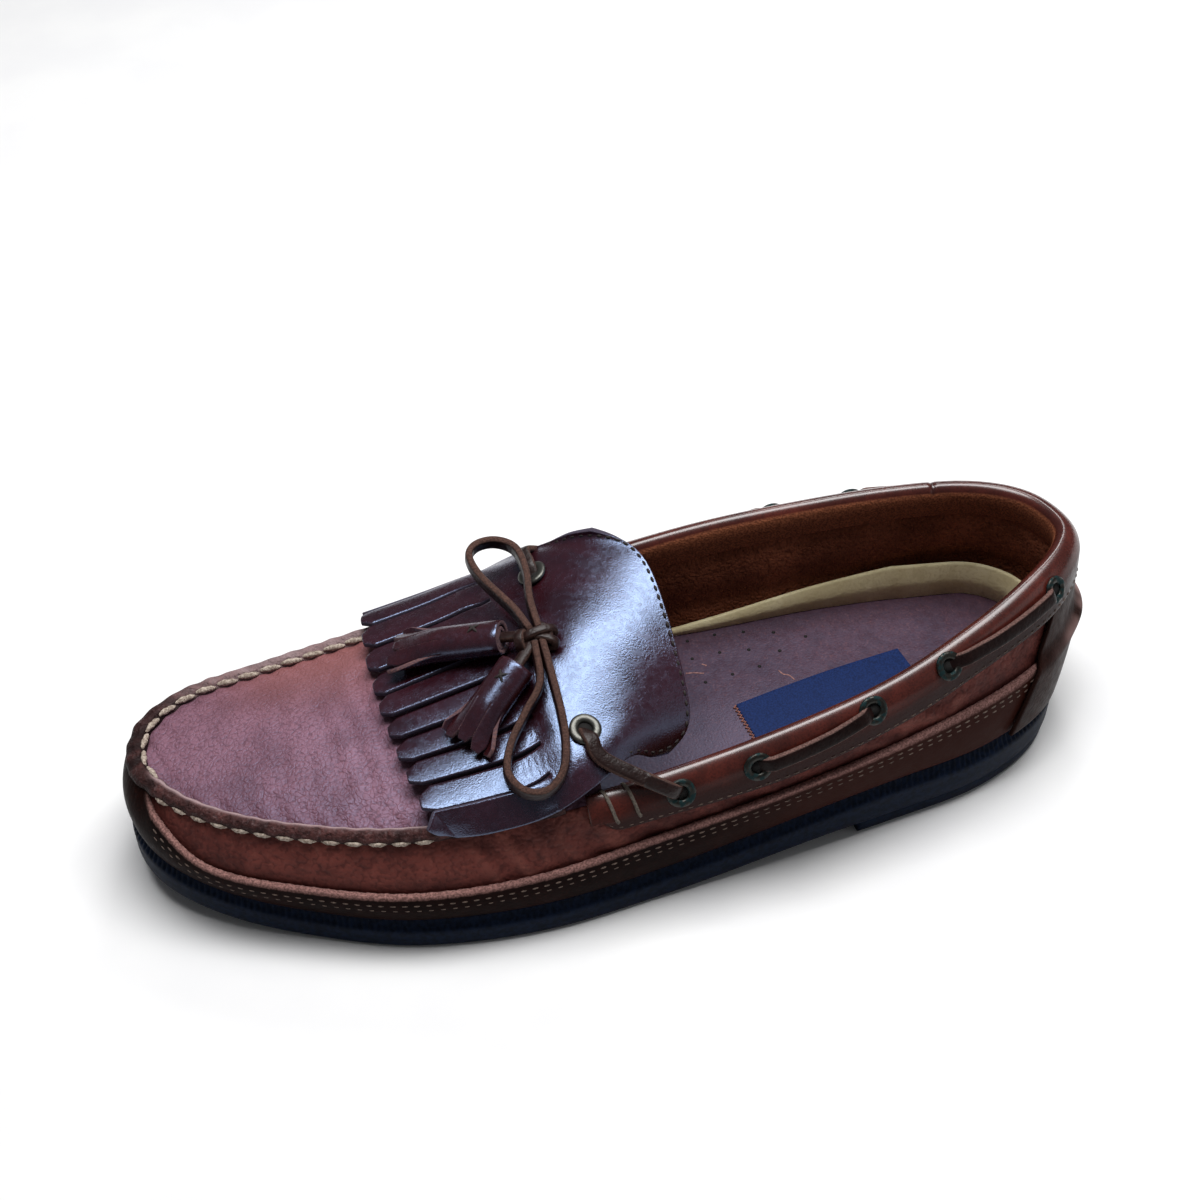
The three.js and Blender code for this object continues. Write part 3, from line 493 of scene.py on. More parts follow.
def joined(skins):
    names = sorted({name for skin in skins for name in skin.marks})
    starts = np.cumsum([0] + [len(skin.points) for skin in skins])
    points = np.concatenate([skin.points for skin in skins])
    quads = np.concatenate([skin.quads + start for skin, start in zip(skins, starts)])
    marks = {
        name: np.concatenate([skin.marks.get(name, np.zeros(len(skin.points))) for skin in skins])
        for name in names
    }
    return Skin(points, quads, marks)


def grid_quads(rows, columns, keep=None):
    ids = np.arange(rows * columns).reshape(rows, columns)
    corners = [ids[:-1, :-1], ids[:-1, 1:], ids[1:, 1:], ids[1:, :-1]]
    quads = np.stack(corners, -1)
    return quads.reshape(-1, 4) if keep is None else quads[keep]


# Rounded cut edge of leather, from face to back: share of the rounding outwards, and share of the depth
EDGE_LEVELS = ((0, 0), (0.7, 0.12), (1, 0.5), (0.7, 0.88), (0, 1))


def leather_sheet(grid, thickness, edge, keep=None, **marks):
    """Leather of one thickness under a grid of points, with rounded cut edges marked raw."""
    rows, columns = grid.shape[:2]
    points = grid.reshape(-1, 3)
    quads = grid_quads(rows, columns, keep)
    across = points[quads[:, 2]] - points[quads[:, 0]]
    along = points[quads[:, 3]] - points[quads[:, 1]]
    face_normals = np.cross(across, along)
    normals = np.zeros_like(points)
    for corner in range(4):
        np.add.at(normals, quads[:, corner], face_normals)
    lengths = np.linalg.norm(normals, axis=1, keepdims=True)
    normals = normals / np.maximum(lengths, 1e-9)

    edges = np.concatenate([quads[:, [i, (i + 1) % 4]] for i in range(4)])
    owners = np.tile(np.arange(len(quads)), 4)
    keys = edges[:, 0] * len(points) + edges[:, 1]
    rim = ~np.isin(keys, edges[:, 1] * len(points) + edges[:, 0])
    start, end = edges[rim].T
    outward = np.zeros_like(points)
    sideways = np.cross(points[end] - points[start], unit(face_normals)[owners[rim]])
    np.add.at(outward, start, unit(sideways))
    np.add.at(outward, end, unit(sideways))
    outward = outward / np.maximum(np.linalg.norm(outward, axis=1, keepdims=True), 1e-9)

    on_rim = np.unique(np.concatenate([start, end]))
    seat = np.full(len(points), -1)
    seat[on_rim] = np.arange(len(on_rim))
    layers = [points, points - normals * thickness]
    for out, down in EDGE_LEVELS[1:-1]:
        layers.append(points[on_rim] + outward[on_rim] * out * edge - normals[on_rim] * thickness * down)
    last_level = len(EDGE_LEVELS) - 1
    bases = [2 * len(points) + len(on_rim) * level for level in range(last_level - 1)]

    def corner(level, ids):
        if level == 0:
            return ids
        if level == last_level:
            return ids + len(points)
        return seat[ids] + bases[level - 1]

    faces = [quads, quads[:, ::-1] + len(points)]
    for level in range(last_level):
        strip = [corner(level, end), corner(level, start), corner(level + 1, start), corner(level + 1, end)]
        faces.append(np.stack(strip, -1))
    rim_count = len(on_rim) * (last_level - 1)
    raw = np.concatenate([np.zeros(2 * len(points)), np.ones(rim_count)])
    inside = np.concatenate([np.zeros(len(points)), np.ones(len(points)), np.zeros(rim_count)])
    all_marks = {"raw": raw, "inside": inside}
    for name, value in marks.items():
        flat = np.broadcast_to(value, (rows, columns)).ravel()
        all_marks[name] = np.concatenate([flat, flat, np.tile(flat[on_rim], last_level - 1)])
    used = np.zeros(sum(len(layer) for layer in layers), bool)
    all_faces = np.concatenate(faces)
    used[all_faces.ravel()] = True
    renumber = np.cumsum(used) - 1
    kept_marks = {name: value[used] for name, value in all_marks.items()}
    return Skin(np.concatenate(layers)[used], renumber[all_faces], kept_marks)


def strip_columns(strips, count):
    """The strip that each column of a fringe is in, and its share of the way across that strip."""
    columns = np.arange(strips * count)
    return columns // count, (columns % count / (count - 1))[None]


def cut_between(strip, is_cut):
    """The quads of a fringe to keep: all but those between two strips in the rows that are cut."""
    is_gap = strip[1:] != strip[:-1]
    return ~(is_cut[:, None] & is_gap[None])


STRAP_CORNERS = 14
STRAP_SQUARENESS = 0.5
STRAP_RAW_EDGE = (0.4, 0.49)


def squared(values):
    return np.sign(values) * np.abs(values) ** STRAP_SQUARENESS


def strap_outline(width, thickness):
    """Places round a flat strap's section: across its width, through its thickness, and its cut edges."""
    turns = 2 * np.pi * (np.arange(STRAP_CORNERS) + 0.5) / STRAP_CORNERS
    tall = squared(np.sin(turns)) * width / 2
    wide = squared(np.cos(turns)) * thickness / 2
    raw = smooth_step(np.abs(tall) / width, *STRAP_RAW_EDGE)
    return tall, wide, raw[None]


def strap(curve, ups, width, thickness, closed=False):
    """A flat strap along a curve. ups, one for all places or one for each, points across its width."""
    tangents = np.gradient(curve, axis=0)
    if closed:
        tangents = np.roll(curve, -1, 0) - np.roll(curve, 1, 0)
    sides = unit(np.cross(tangents, ups))
    ups = unit(np.cross(sides, tangents))
    tall, wide, raw = strap_outline(width, thickness)
    sections = curve[:, None] + ups[:, None] * tall[None, :, None] + sides[:, None] * wide[None, :, None]
    return sweep(sections, closed, raw=raw)


# A stitch, in radii of its thread: thickness and depth of its ends, its arch, and how flat it lies
STITCH_END = 0.35
STITCH_SINK = 0.35
STITCH_ARCH = 1.4
STITCH_FLATNESS = 0.75
STITCH_PLIES = 2
STITCH_TWISTS = 1.25


def thread_row(curve, ups, pitch, fill, radius, lift, rings=5, sides=6, twist=0.0, slant=0.0):
    """Stitches of thread along a curve, each sunk into the leather at both ends."""
    along = length_along(curve)
    count = max(int(along[-1] / pitch), 1)
    share = np.linspace(0, 1, rings)
    middles = (np.arange(count) + 0.5) * along[-1] / count
    lengths = (middles[:, None] + (share[None, :] - 0.5) * pitch * fill).ravel()
    places = at_lengths(along, curve, lengths).reshape(count, rings, 3)
    lifts = unit(at_lengths(along, ups, lengths)).reshape(count, rings, 3)
    tangents = unit(np.gradient(places, axis=1))
    across = unit(np.cross(tangents, lifts))
    arch = np.sin(np.pi * share)
    size = radius * mix(STITCH_END, 1, arch**0.6)
    height = radius * (STITCH_ARCH * lift * arch**0.7 - STITCH_SINK * (1 - arch))
    turns = round_turns(sides)
    ply = 1 + twist * np.cos(STITCH_PLIES * (turns[None, :] - 2 * np.pi * STITCH_TWISTS * share[:, None]))
    around = size[:, None] * ply
    lean = slant * (share - 0.5)
    rises = height[:, None] + STITCH_FLATNESS * around * np.sin(turns)
    leans = lean[:, None] + around * np.cos(turns)
    sections = (
        places[:, :, None]
        + lifts[:, :, None] * rises[None, :, :, None]
        + across[:, :, None] * leans[None, :, :, None]
    )
    return joined([sweep(section) for section in sections])


def metres(points):
    return (np.asarray(points, float) - CENTRE) * MM


def piece(name, skin, material, nodes=()):
    mesh = bpy.data.meshes.new(name)
    mesh.from_pydata(metres(skin.points).tolist(), [], skin.quads.tolist())
    mesh.shade_smooth()
    for mark, values in skin.marks.items():
        layer = mesh.attributes.new(mark, "FLOAT", "POINT")
        layer.data.foreach_set("value", np.ascontiguousarray(values, np.float32))
    mesh.materials.append(material)
    made = bpy.data.objects.new(name, mesh)
    bpy.context.collection.objects.link(made)
    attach(made, "root")
    if nodes:
        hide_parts(*nodes)
    return made


# Materials
def rgb(red, green, blue):
    """Linear colour from the usual 0 to 255 values."""
    def linear(value):
        value /= 255
        return value / 12.92 if value <= 0.04045 else ((value + 0.055) / 1.055) ** 2.4
    return (linear(red), linear(green), linear(blue), 1.0)


class Finish:
    """One node material, with short names for the nodes that it is made of."""

    def __init__(self, name, roughness=0.5, **settings):
        self.material = bpy.data.materials.new(name)
        self.material.use_nodes = True
        self.tree = self.material.node_tree
        self.shader = self.tree.nodes["Principled BSDF"]
        self.places = self.add("ShaderNodeTexCoord").outputs["Object"]
        self.set("Roughness", roughness)
        for socket, value in settings.items():
            self.set(socket.replace("_", " "), value)

    def add(self, kind, **settings):
        node = self.tree.nodes.new(kind)
        for name, value in settings.items():
            setattr(node, name, value)
        return node

    def feed(self, socket, value):
        if isinstance(value, bpy.types.NodeSocket):
            self.tree.links.new(value, socket)
        else:
            socket.default_value = value

    def set(self, socket, value):
        self.feed(self.shader.inputs[socket], value)

    def texture(self, kind, size, places=None, **settings):
        """A texture node with features of the given size in millimetres."""
        node = self.add(kind, **settings)
        self.feed(node.inputs["Vector"], self.places if places is None else places)
        node.inputs["Scale"].default_value = 1 / (size * MM)
        return node

    def noise(self, size, detail=3.0):
        """Cloudy noise."""
        node = self.texture("ShaderNodeTexNoise", size)
        node.inputs["Detail"].default_value = detail
        return node.outputs["Fac"]

    def cells(self, size):
        """Rounded grain."""
        node = self.texture("ShaderNodeTexVoronoi", size, feature="SMOOTH_F1")
        return self.sum(1.0, node.outputs["Distance"], "SUBTRACT")

    def crackle(self, size, stretch):
        """Fine winding lines between cells: 0 along the lines and 1 on the cells."""
        wave_size = size / 0.6
        waviness = 1.4
        wave = self.texture("ShaderNodeTexNoise", wave_size)
        shift = self.add("ShaderNodeVectorMath", operation="SCALE")
        self.feed(shift.inputs[0], wave.outputs["Color"])
        shift.inputs["Scale"].default_value = waviness * size * MM
        stretched = self.add("ShaderNodeMapping")
        self.feed(stretched.inputs["Vector"], self.places)
        stretched.inputs["Scale"].default_value = stretch
        moved = self.add("ShaderNodeVectorMath", operation="ADD")
        self.feed(moved.inputs[0], stretched.outputs["Vector"])
        self.feed(moved.inputs[1], shift.outputs["Vector"])
        places = moved.outputs["Vector"]
        lines = self.texture("ShaderNodeTexVoronoi", size, places, feature="DISTANCE_TO_EDGE")
        return self.span(lines.outputs["Distance"], -0.04, 0.2)

    def mark(self, name):
        return self.add("ShaderNodeAttribute", attribute_name=name).outputs["Fac"]

    def span(self, value, low, high, to_low=0.0, to_high=1.0):
        node = self.add("ShaderNodeMapRange", interpolation_type="SMOOTHSTEP")
        for socket, setting in zip(node.inputs, (value, low, high, to_low, to_high)):
            self.feed(socket, setting)
        return node.outputs[0]

    def sum(self, a, b, operation="ADD"):
        node = self.add("ShaderNodeMath", operation=operation)
        self.feed(node.inputs[0], a)
        self.feed(node.inputs[1], b)
        return node.outputs[0]

    def times(self, a, b):
        return self.sum(a, b, "MULTIPLY")

    def blend(self, share, a, b):
        node = self.add("ShaderNodeMix", data_type="RGBA")
        self.feed(node.inputs[0], share)
        self.feed(node.inputs[6], a)
        self.feed(node.inputs[7], b)
        return node.outputs[2]

    def bump(self, height, depth, strength=1.0, under=None):
        """Relief of the given depth in millimetres."""
        node = self.add("ShaderNodeBump")
        self.feed(node.inputs["Strength"], strength)
        node.inputs["Distance"].default_value = depth * MM
        self.feed(node.inputs["Height"], height)
        if under is not None:
            self.feed(node.inputs["Normal"], under)
        return node.outputs["Normal"]


TAN = rgb(150, 112, 88)


def leather(name, colour, shade, light, grain, wrinkle, roughness,
            raw=TAN, mottle=18, lines=None, specks=0.16, **settings):
    """Leather, whose grain and wrinkle each have a size and a depth in millimetres.

    With lines, which stretches the cells between them, the wrinkles are fine winding lines.
    """
    finish = Finish(name, **settings)
    finish.set("Coat Weight", finish.mark("polish"))
    is_glossy = roughness < 0.4
    cloud = finish.span(finish.noise(mottle, 4), 0.3, 0.7, 0.3, 1.0)
    base = finish.blend(cloud, shade, colour)
    bumps = finish.noise(grain[0], 2) if is_glossy else finish.cells(grain[0])
    pebbles = finish.span(bumps, 0.3, 0.72)
    base = finish.blend(finish.span(pebbles, 0.0, 0.6, 0.55, 1.0), shade, base)
    speck = finish.span(finish.noise(grain[0] * 1.3, 4), 0.5, 0.75)
    base = finish.blend(finish.times(speck, specks), base, light)
    if lines is None:
        folds = finish.span(finish.noise(wrinkle[0], 2.5), 0.3, 0.62)
    else:
        folds = finish.crackle(wrinkle[0], lines)
    base = finish.blend(finish.span(folds, 0.0, 0.6, 0.6, 1.0), shade, base)
    base = finish.blend(finish.mark("dark"), base, shade)
    # Blend towards the light colour: real wear in places, and painted light in others, such as the seam
    # ridge's lit far side and the plug's far side beyond its painted sheen
    base = finish.blend(finish.mark("wear"), base, light)
    fuzz = finish.span(finish.noise(0.6, 3), 0.36, 0.66, 0.45, 1.0)
    base = finish.blend(finish.mark("inside"), base, finish.blend(fuzz, shade, colour))
    base = finish.blend(finish.mark("raw"), base, finish.blend(fuzz, shade, raw))
    finish.set("Base Color", base)
    rough = finish.span(finish.noise(grain[0] * 4, 4), 0.3, 0.7, roughness - 0.06, roughness + 0.06)
    finish.set("Roughness", finish.span(finish.mark("raw"), 0.0, 1.0, rough, 0.9))
    creased_normal = finish.bump(folds, wrinkle[1])
    pebbled_normal = finish.bump(pebbles, grain[1], 1.0, creased_normal)
    finish.set("Normal", finish.bump(fuzz, 0.15, finish.mark("raw"), pebbled_normal))
    return finish.material


def plain(name, colour, second, size, roughness, depth, **settings):
    """Two close colours in a fine cloud of the given size, with a fine relief."""
    finish = Finish(name, roughness, **settings)
    cloud = finish.noise(size, 4)
    finish.set("Base Color", finish.blend(finish.span(cloud, 0.35, 0.65), colour, second))
    finish.set("Normal", finish.bump(finish.noise(size * 0.4, 3), depth))
    return finish.material


def thread(name, colour, second, roughness=0.8, depth=0.1):
    return plain(name, colour, second, 0.7, roughness, depth)


# Each leather's colour, its shade and its light colour, for wear and painted light, then its grain and
# wrinkle, and its roughness
# COOL tints several leathers' reflections blue: a painted cool light colour, since the lamps are white
COOL = rgb(186, 212, 255)
LINE_STRETCH = (0.8, 0.7, 0.8)
# The plug's mauve colour is a painted cool sheen over brown leather, and its light colour is that brown
PLUG_LEATHER = leather(
    "plug leather", rgb(133, 95, 110), rgb(84, 54, 64), rgb(142, 88, 82), (0.8, 0.09), (1.5, 0.1), 0.46,
    lines=LINE_STRETCH, Specular_Tint=COOL, Specular_IOR_Level=0.4)
VAMP_LEATHER = leather(
    "vamp leather", rgb(116, 60, 53), rgb(60, 28, 27), rgb(150, 92, 80), (1.1, 0.12), (3.0, 0.16), 0.6,
    mottle=11, Specular_IOR_Level=0.12)
RIDGE_LEATHER = leather(
    "ridge leather", rgb(92, 56, 54), rgb(32, 18, 18), rgb(184, 160, 162), (0.8, 0.1), (1.7, 0.3), 0.6,
    mottle=7, Specular_IOR_Level=0.12)
FOXING_LEATHER = leather(
    "foxing leather", rgb(28, 12, 10), rgb(15, 7, 6), rgb(66, 32, 25), (0.7, 0.02), (6.0, 0.04), 0.42,
    raw=rgb(158, 118, 112), Specular_IOR_Level=0.02)
HEEL_LEATHER = leather(
    "heel panel leather", rgb(46, 26, 22), rgb(27, 14, 12), rgb(168, 136, 132), (0.8, 0.03), (6.0, 0.05),
    0.42, raw=rgb(36, 20, 16), mottle=9, specks=0.03, Specular_IOR_Level=0.04)
COLLAR_LEATHER = leather(
    "collar leather", rgb(84, 34, 27), rgb(40, 15, 13), rgb(112, 54, 42), (0.6, 0.012), (6.0, 0.03), 0.3,
    raw=rgb(168, 102, 72), Specular_IOR_Level=0.06, Coat_Roughness=0.25, Coat_IOR=1.6)
KILTIE_LEATHER = leather(
    "kiltie leather", rgb(50, 13, 19), rgb(33, 9, 13), rgb(70, 28, 36), (0.5, 0.03), (9.0, 0.02), 0.24,
    raw=rgb(60, 34, 30), IOR=1.7, Specular_IOR_Level=1.0, Specular_Tint=COOL)
TASSEL_LEATHER = leather(
    "tassel leather", rgb(54, 17, 19), rgb(35, 11, 13), rgb(78, 34, 36), (0.5, 0.015), (9.0, 0.02), 0.26,
    raw=rgb(108, 68, 52), IOR=1.6, Specular_IOR_Level=1.0, Specular_Tint=COOL)
LINING_SUEDE = leather(
    "lining suede", rgb(164, 98, 70), rgb(98, 54, 37), rgb(172, 116, 84), (0.8, 0.25), (2.4, 0.25), 0.9,
    Specular_IOR_Level=0.1)
FOOTBED_LEATHER = leather(
    "footbed leather", rgb(74, 50, 60), rgb(54, 35, 44), rgb(150, 100, 94), (0.6, 0.02), (9.0, 0.03), 0.42,
    mottle=40, Specular_IOR_Level=0.6, Specular_Tint=COOL)
CUP_LEATHER = leather(
    "cup leather", rgb(238, 226, 184), rgb(208, 192, 144), rgb(244, 234, 200), (0.8, 0.04), (4.0, 0.06), 0.5)
RAWHIDE = leather(
    "rawhide", rgb(38, 20, 18), rgb(24, 13, 12), rgb(80, 52, 46), (0.5, 0.03), (2.0, 0.06), 0.4,
    raw=rgb(86, 60, 52), Specular_IOR_Level=0.3)
# The bars along the collar are a darker copy of the rawhide, painted shade, with paler cut edges standing for
# their lit top edges, a painted highlight
SHADED_BAR_HIDE = leather(
    "shaded bar hide", rgb(28, 15, 14), rgb(17, 9, 9), rgb(70, 46, 42), (0.5, 0.03), (2.0, 0.06), 0.4,
    raw=rgb(118, 90, 84), Specular_IOR_Level=0.1)

# Each plain finish's two colours, the size of its cloud, its roughness and the depth of its relief
RUBBER = plain("sole rubber", rgb(11, 18, 31), rgb(18, 28, 47), 1.6, 0.5, 0.05, Specular_IOR_Level=0.05)
SCUFF_PINK = plain("scuff pink", rgb(150, 108, 102), rgb(112, 76, 74), 0.8, 0.8, 0.05)
HOLE_SHADE = plain("painted hole shade", rgb(10, 8, 8), rgb(16, 12, 11), 1.0, 0.9, 0.02)
LABEL_NAVY = plain("label navy", rgb(12, 29, 68), rgb(20, 42, 90), 0.5, 0.7, 0.08, Specular_IOR_Level=0.15)
FLOOR_WHITE = plain("floor", rgb(240, 240, 240), rgb(236, 236, 237), 60, 0.8, 0.0)
CREAM_THREAD = thread("cream thread", rgb(188, 174, 160), rgb(126, 110, 98), depth=0.15)
TAN_THREAD = thread("tan thread", rgb(114, 95, 84), rgb(76, 62, 54))
GREY_THREAD = thread("grey thread", rgb(102, 92, 82), rgb(68, 60, 54))
RUST_THREAD = thread("rust thread", rgb(128, 78, 66), rgb(88, 50, 42))
DARK_THREAD = thread("dark thread", rgb(40, 29, 26), rgb(24, 17, 16), roughness=0.75)


def eyelet_metal():
    """Gunmetal. Rings marked dark are tarnished, with a blue-green bloom."""
    finish = Finish("eyelet metal", Metallic=0.8)
    bloom = finish.times(finish.span(finish.noise(1.6, 5), 0.45, 0.6), finish.mark("dark"))
    metal = finish.blend(finish.mark("dark"), rgb(84, 84, 80), rgb(50, 49, 46))
    finish.set("Base Color", finish.blend(bloom, metal, rgb(28, 52, 54)))
    finish.set("Roughness", finish.span(bloom, 0.0, 1.0, 0.36, 0.75))
    finish.set("Normal", finish.bump(finish.noise(0.6, 3), 0.05))
    return finish.material


EYELET_METAL = eyelet_metal()


# Camera
def camera():
    azimuth = math.radians(CAMERA_AZIMUTH)
    elevation = math.radians(CAMERA_ELEVATION)
    level = math.cos(elevation)
    back = Vector((math.sin(azimuth) * level, -math.cos(azimuth) * level, math.sin(elevation)))
    made = bpy.data.objects.new("camera", bpy.data.cameras.new("camera"))
    made.data.lens = CAMERA_LENS
    made.location = CAMERA_PLACE
    made.rotation_mode = "QUATERNION"
    made.rotation_quaternion = (-back).to_track_quat("-Z", "Y")
    bpy.context.collection.objects.link(made)
    bpy.context.scene.camera = made


camera()


# Lace: the bow's loops and knot
LOOP_UP = (0.0, -0.3, 1.0)


def loop_cord(name, places):
    """One loop of the bow: the strap on edge along its route."""
    skin = strap(curve_through(places, 110), LOOP_UP, LOOP_WIDTH, LOOP_THICKNESS)
    made = piece(name, skin, RAWHIDE, ("bow",))
    path = metres(curve_through(places, 30))
    round(float(length_along(path)[-1]), 3)


loop_cord("bow_loop_near", NEAR_LOOP)
loop_cord("bow_loop_far", FAR_LOOP)

# Wraps of the knot: middle from the knot's centre, axis of the wrap, its long and short radius, strap width
KNOT_WRAPS = (
    ((0.8, 0.4, 0.2), (-0.1, 1.0, 0.25), 4.6, 2.5, 2.6),
    ((-4.6, -0.2, -0.4), (0.85, -0.35, 0.35), 2.6, 2.4, 2.8),
    ((1.2, -1.4, -0.8), (0.55, 1.0, 0.1), 4.0, 2.0, 2.4),
)


def knot():
    turns = round_turns(48)[:, None]
    skins = []
    for middle, axis, long, short, width in KNOT_WRAPS:
        axis = unit(np.array(axis))
        flat = unit(np.cross(axis, UP))
        upward = np.cross(flat, axis)
        ring = KNOT + middle + flat * long * np.cos(turns) + upward * short * np.sin(turns)
        skins.append(strap(ring, axis, width, LACE_THICKNESS, closed=True))
    return joined(skins)


piece("bow_knot", knot(), RAWHIDE, ("bow",))


# Tassels: a roll of leather whose lower half is cut into strips
TASSEL_TURNS = 1.6
TASSEL_RADIUS = 5.7
TASSEL_INNER_RADIUS = 2.6
TASSEL_HEAD_SHARE = 0.5
TASSEL_FLAT = 0.85
TASSEL_LEATHER_THICKNESS = 1.3
TASSEL_EDGE = 0.15
TASSEL_CORE_START = 0.01
TASSEL_CORE_GAP = 0.1
TASSEL_RIM = 0.04
TASSEL_RIM_ROLL = 0.06
TASSEL_SLIT = 0.05
TASSEL_CLIP = 0.5
TASSEL_CLIP_ROW = 0.9
TASSEL_STRIP_COLUMNS = 13
TASSEL_STRIP_TILT = 0.45
TASSEL_BEND_END = 1.1

# Strips of a tassel, round the head from underneath: reach to the side and height at the tip,
# and share of the tassel's length
TASSEL_STRIPS = (
    (3.4, -2.9, 0.93), (7.8, -1.6, 0.96), (5.0, 0.8, 1.0), (0.2, 1.7, 0.97), (-5.0, 0.9, 1.0),
    (-8.6, -1.4, 0.97), (-4.0, -2.9, 0.92),
)

# Crossed stitches on a tassel: place as a share of the head, half length and width, lift and sag
CROSS_PLACE = 0.42
CROSS_HALF_LENGTH = 1.6
CROSS_HALF_WIDTH = 1.5
CROSS_LIFT = 0.15
CROSS_SAG = 0.25

# A tassel's cord: how far it starts behind the knot, its rise halfway, and its reach into the head
CORD_BEHIND = 4.5
CORD_RISE = 0.4
CORD_REACH = (2, 15.5)


def tassel_frame(entry):
    """A tassel's start and length, and its arrows along, sideways and up."""
    start, end = np.array(entry["start"]), np.array(entry["end"])
    along = unit(end - start)
    side = unit(np.cross(along, UP))
    return start, np.linalg.norm(end - start), np.stack([along, side, np.cross(side, along)])


def tassel_places(entry, share, side, up):
    """Places on a tassel, by the share of its length and the distance sideways and up."""
    start, length, arrows = tassel_frame(entry)
    return start + np.stack(np.broadcast_arrays(share * length, side, up), -1) @ arrows


def tassel_core(entry):
    """The rolled inner turns, seen at the head's open end."""
    share = np.linspace(TASSEL_CORE_START, TASSEL_HEAD_SHARE, 24)[:, None]
    turn = np.linspace(0, 1, 90)[None]
    phi = 2 * np.pi * TASSEL_TURNS * (turn - 1) - np.pi / 2
    outer = TASSEL_RADIUS - TASSEL_LEATHER_THICKNESS - TASSEL_CORE_GAP
    radius = mix(TASSEL_INNER_RADIUS, outer, turn)
    grid = tassel_places(entry, share, np.cos(phi) * radius, np.sin(phi) * radius * TASSEL_FLAT)
    return leather_sheet(grid[:, ::-1], TASSEL_LEATHER_THICKNESS, TASSEL_EDGE)


def tassel_cover(entry):
    """The outer turn: round at the head, then cut into strips that flatten towards their clipped tips."""
    strip, across = strip_columns(len(TASSEL_STRIPS), TASSEL_STRIP_COLUMNS)
    head_rows = np.linspace(0, TASSEL_HEAD_SHARE, 30)[:-1]
    rows = np.concatenate([head_rows, np.linspace(TASSEL_HEAD_SHARE, 1, 46)])
    row = rows[:, None]
    free = np.clip((row - TASSEL_HEAD_SHARE) / (1 - TASSEL_HEAD_SHARE), 0, 1)
    reach, height, share = np.array(TASSEL_STRIPS).T[:, strip]
    clip = 1 - TASSEL_CLIP * np.clip((row - TASSEL_CLIP_ROW) / (1 - TASSEL_CLIP_ROW), 0, 1)
    half = np.pi / len(TASSEL_STRIPS)
    middle = 2 * half * (strip + 0.5)[None] - np.pi / 2
    spread = (1 - TASSEL_SLIT) * half * (2 * across - 1) * clip
    phi = middle + spread
    radius = TASSEL_RADIUS * (1 - TASSEL_RIM_ROLL * smooth_step(-row, -TASSEL_RIM, 0))
    round_side = np.cos(phi) * radius
    round_up = np.sin(phi) * radius * TASSEL_FLAT
    tilt = TASSEL_STRIP_TILT * np.arcsin(np.clip(-np.cos(middle), -1, 1))
    flat = TASSEL_RADIUS * spread
    flat_side = reach - np.sign(np.sin(middle)) * flat * np.cos(tilt)
    flat_up = height - flat * np.sin(tilt)
    bend = smooth_step(free, 0.0, TASSEL_BEND_END)
    grid = tassel_places(
        entry, row * mix(1, share, free), mix(round_side, flat_side, bend), mix(round_up, flat_up, bend))
    keep = cut_between(strip, rows[:-1] >= TASSEL_HEAD_SHARE)
    return leather_sheet(grid[:, ::-1], TASSEL_LEATHER_THICKNESS, TASSEL_EDGE, keep[:, ::-1])


def tassel_stitch(entry):
    """Two crossed stitches on top of the tassel's head."""
    _, length, (_, _, up) = tassel_frame(entry)
    way = np.linspace(-1, 1, 9)
    share = CROSS_PLACE * TASSEL_HEAD_SHARE + CROSS_HALF_LENGTH * way / length
    height = TASSEL_RADIUS * TASSEL_FLAT + CROSS_LIFT - CROSS_SAG * way**2
    ups = np.tile(up, (len(way), 1))
    skins = []
    for lean in (-1, 1):
        curve = tassel_places(entry, share, lean * CROSS_HALF_WIDTH * way, height)
        skins.append(thread_row(curve, ups, pitch=5.0, fill=0.9, radius=0.5, lift=0.2, rings=7))
    return joined(skins)


def tassel_cord(name, entry):
    """The strap from behind the knot into the tassel's head, and its path in metres."""
    start, _, (along, side, _) = tassel_frame(entry)
    behind = KNOT + unit(KNOT - start) * CORD_BEHIND
    halfway = mix(behind, start, 0.5) + CORD_RISE * UP
    places = [behind, halfway, *(start + along * reach for reach in CORD_REACH)]
    skin = strap(curve_through(places, 50), side, TASSEL_CORD_WIDTH, LACE_THICKNESS)
    return piece(name, skin, RAWHIDE, ("bow",)), metres(curve_through(places, 20))


for side_name, entry in TASSELS.items():
    node = f"tassel_{side_name}"
    roll = joined([tassel_core(entry), tassel_cover(entry)])
    body = piece(f"{node}_roll", roll, TASSEL_LEATHER, (node,))
    stitch = piece(f"{node}_stitch", tassel_stitch(entry), DARK_THREAD, ())
    cord, path = tassel_cord(f"{node}_cord", entry)
    round(float(length_along(path)[-1]), 4)


# Outsole: one moulding, ribbed round its upper edge, with its low heel
def edge_rows(angles, rows):
    """Lines along the sole's edge, each with its inset and its height."""
    return np.stack([raised(sole_edge(angles, inset), height) for inset, height in rows], 1)


def slab(stations, side, crossings):
    """Closed slab between the sole's two edges. side gives an edge's lines from the top down."""
    near = side(stations)
    far = side(360 - stations)
    shares = np.linspace(0, 1, crossings)[1:-1][None, :, None]
    under = mix(near[:, -1:], far[:, -1:], shares)
    over = mix(far[:, :1], near[:, :1], shares)
    return sweep(np.concatenate([near, under, far[:, ::-1], over], 1))


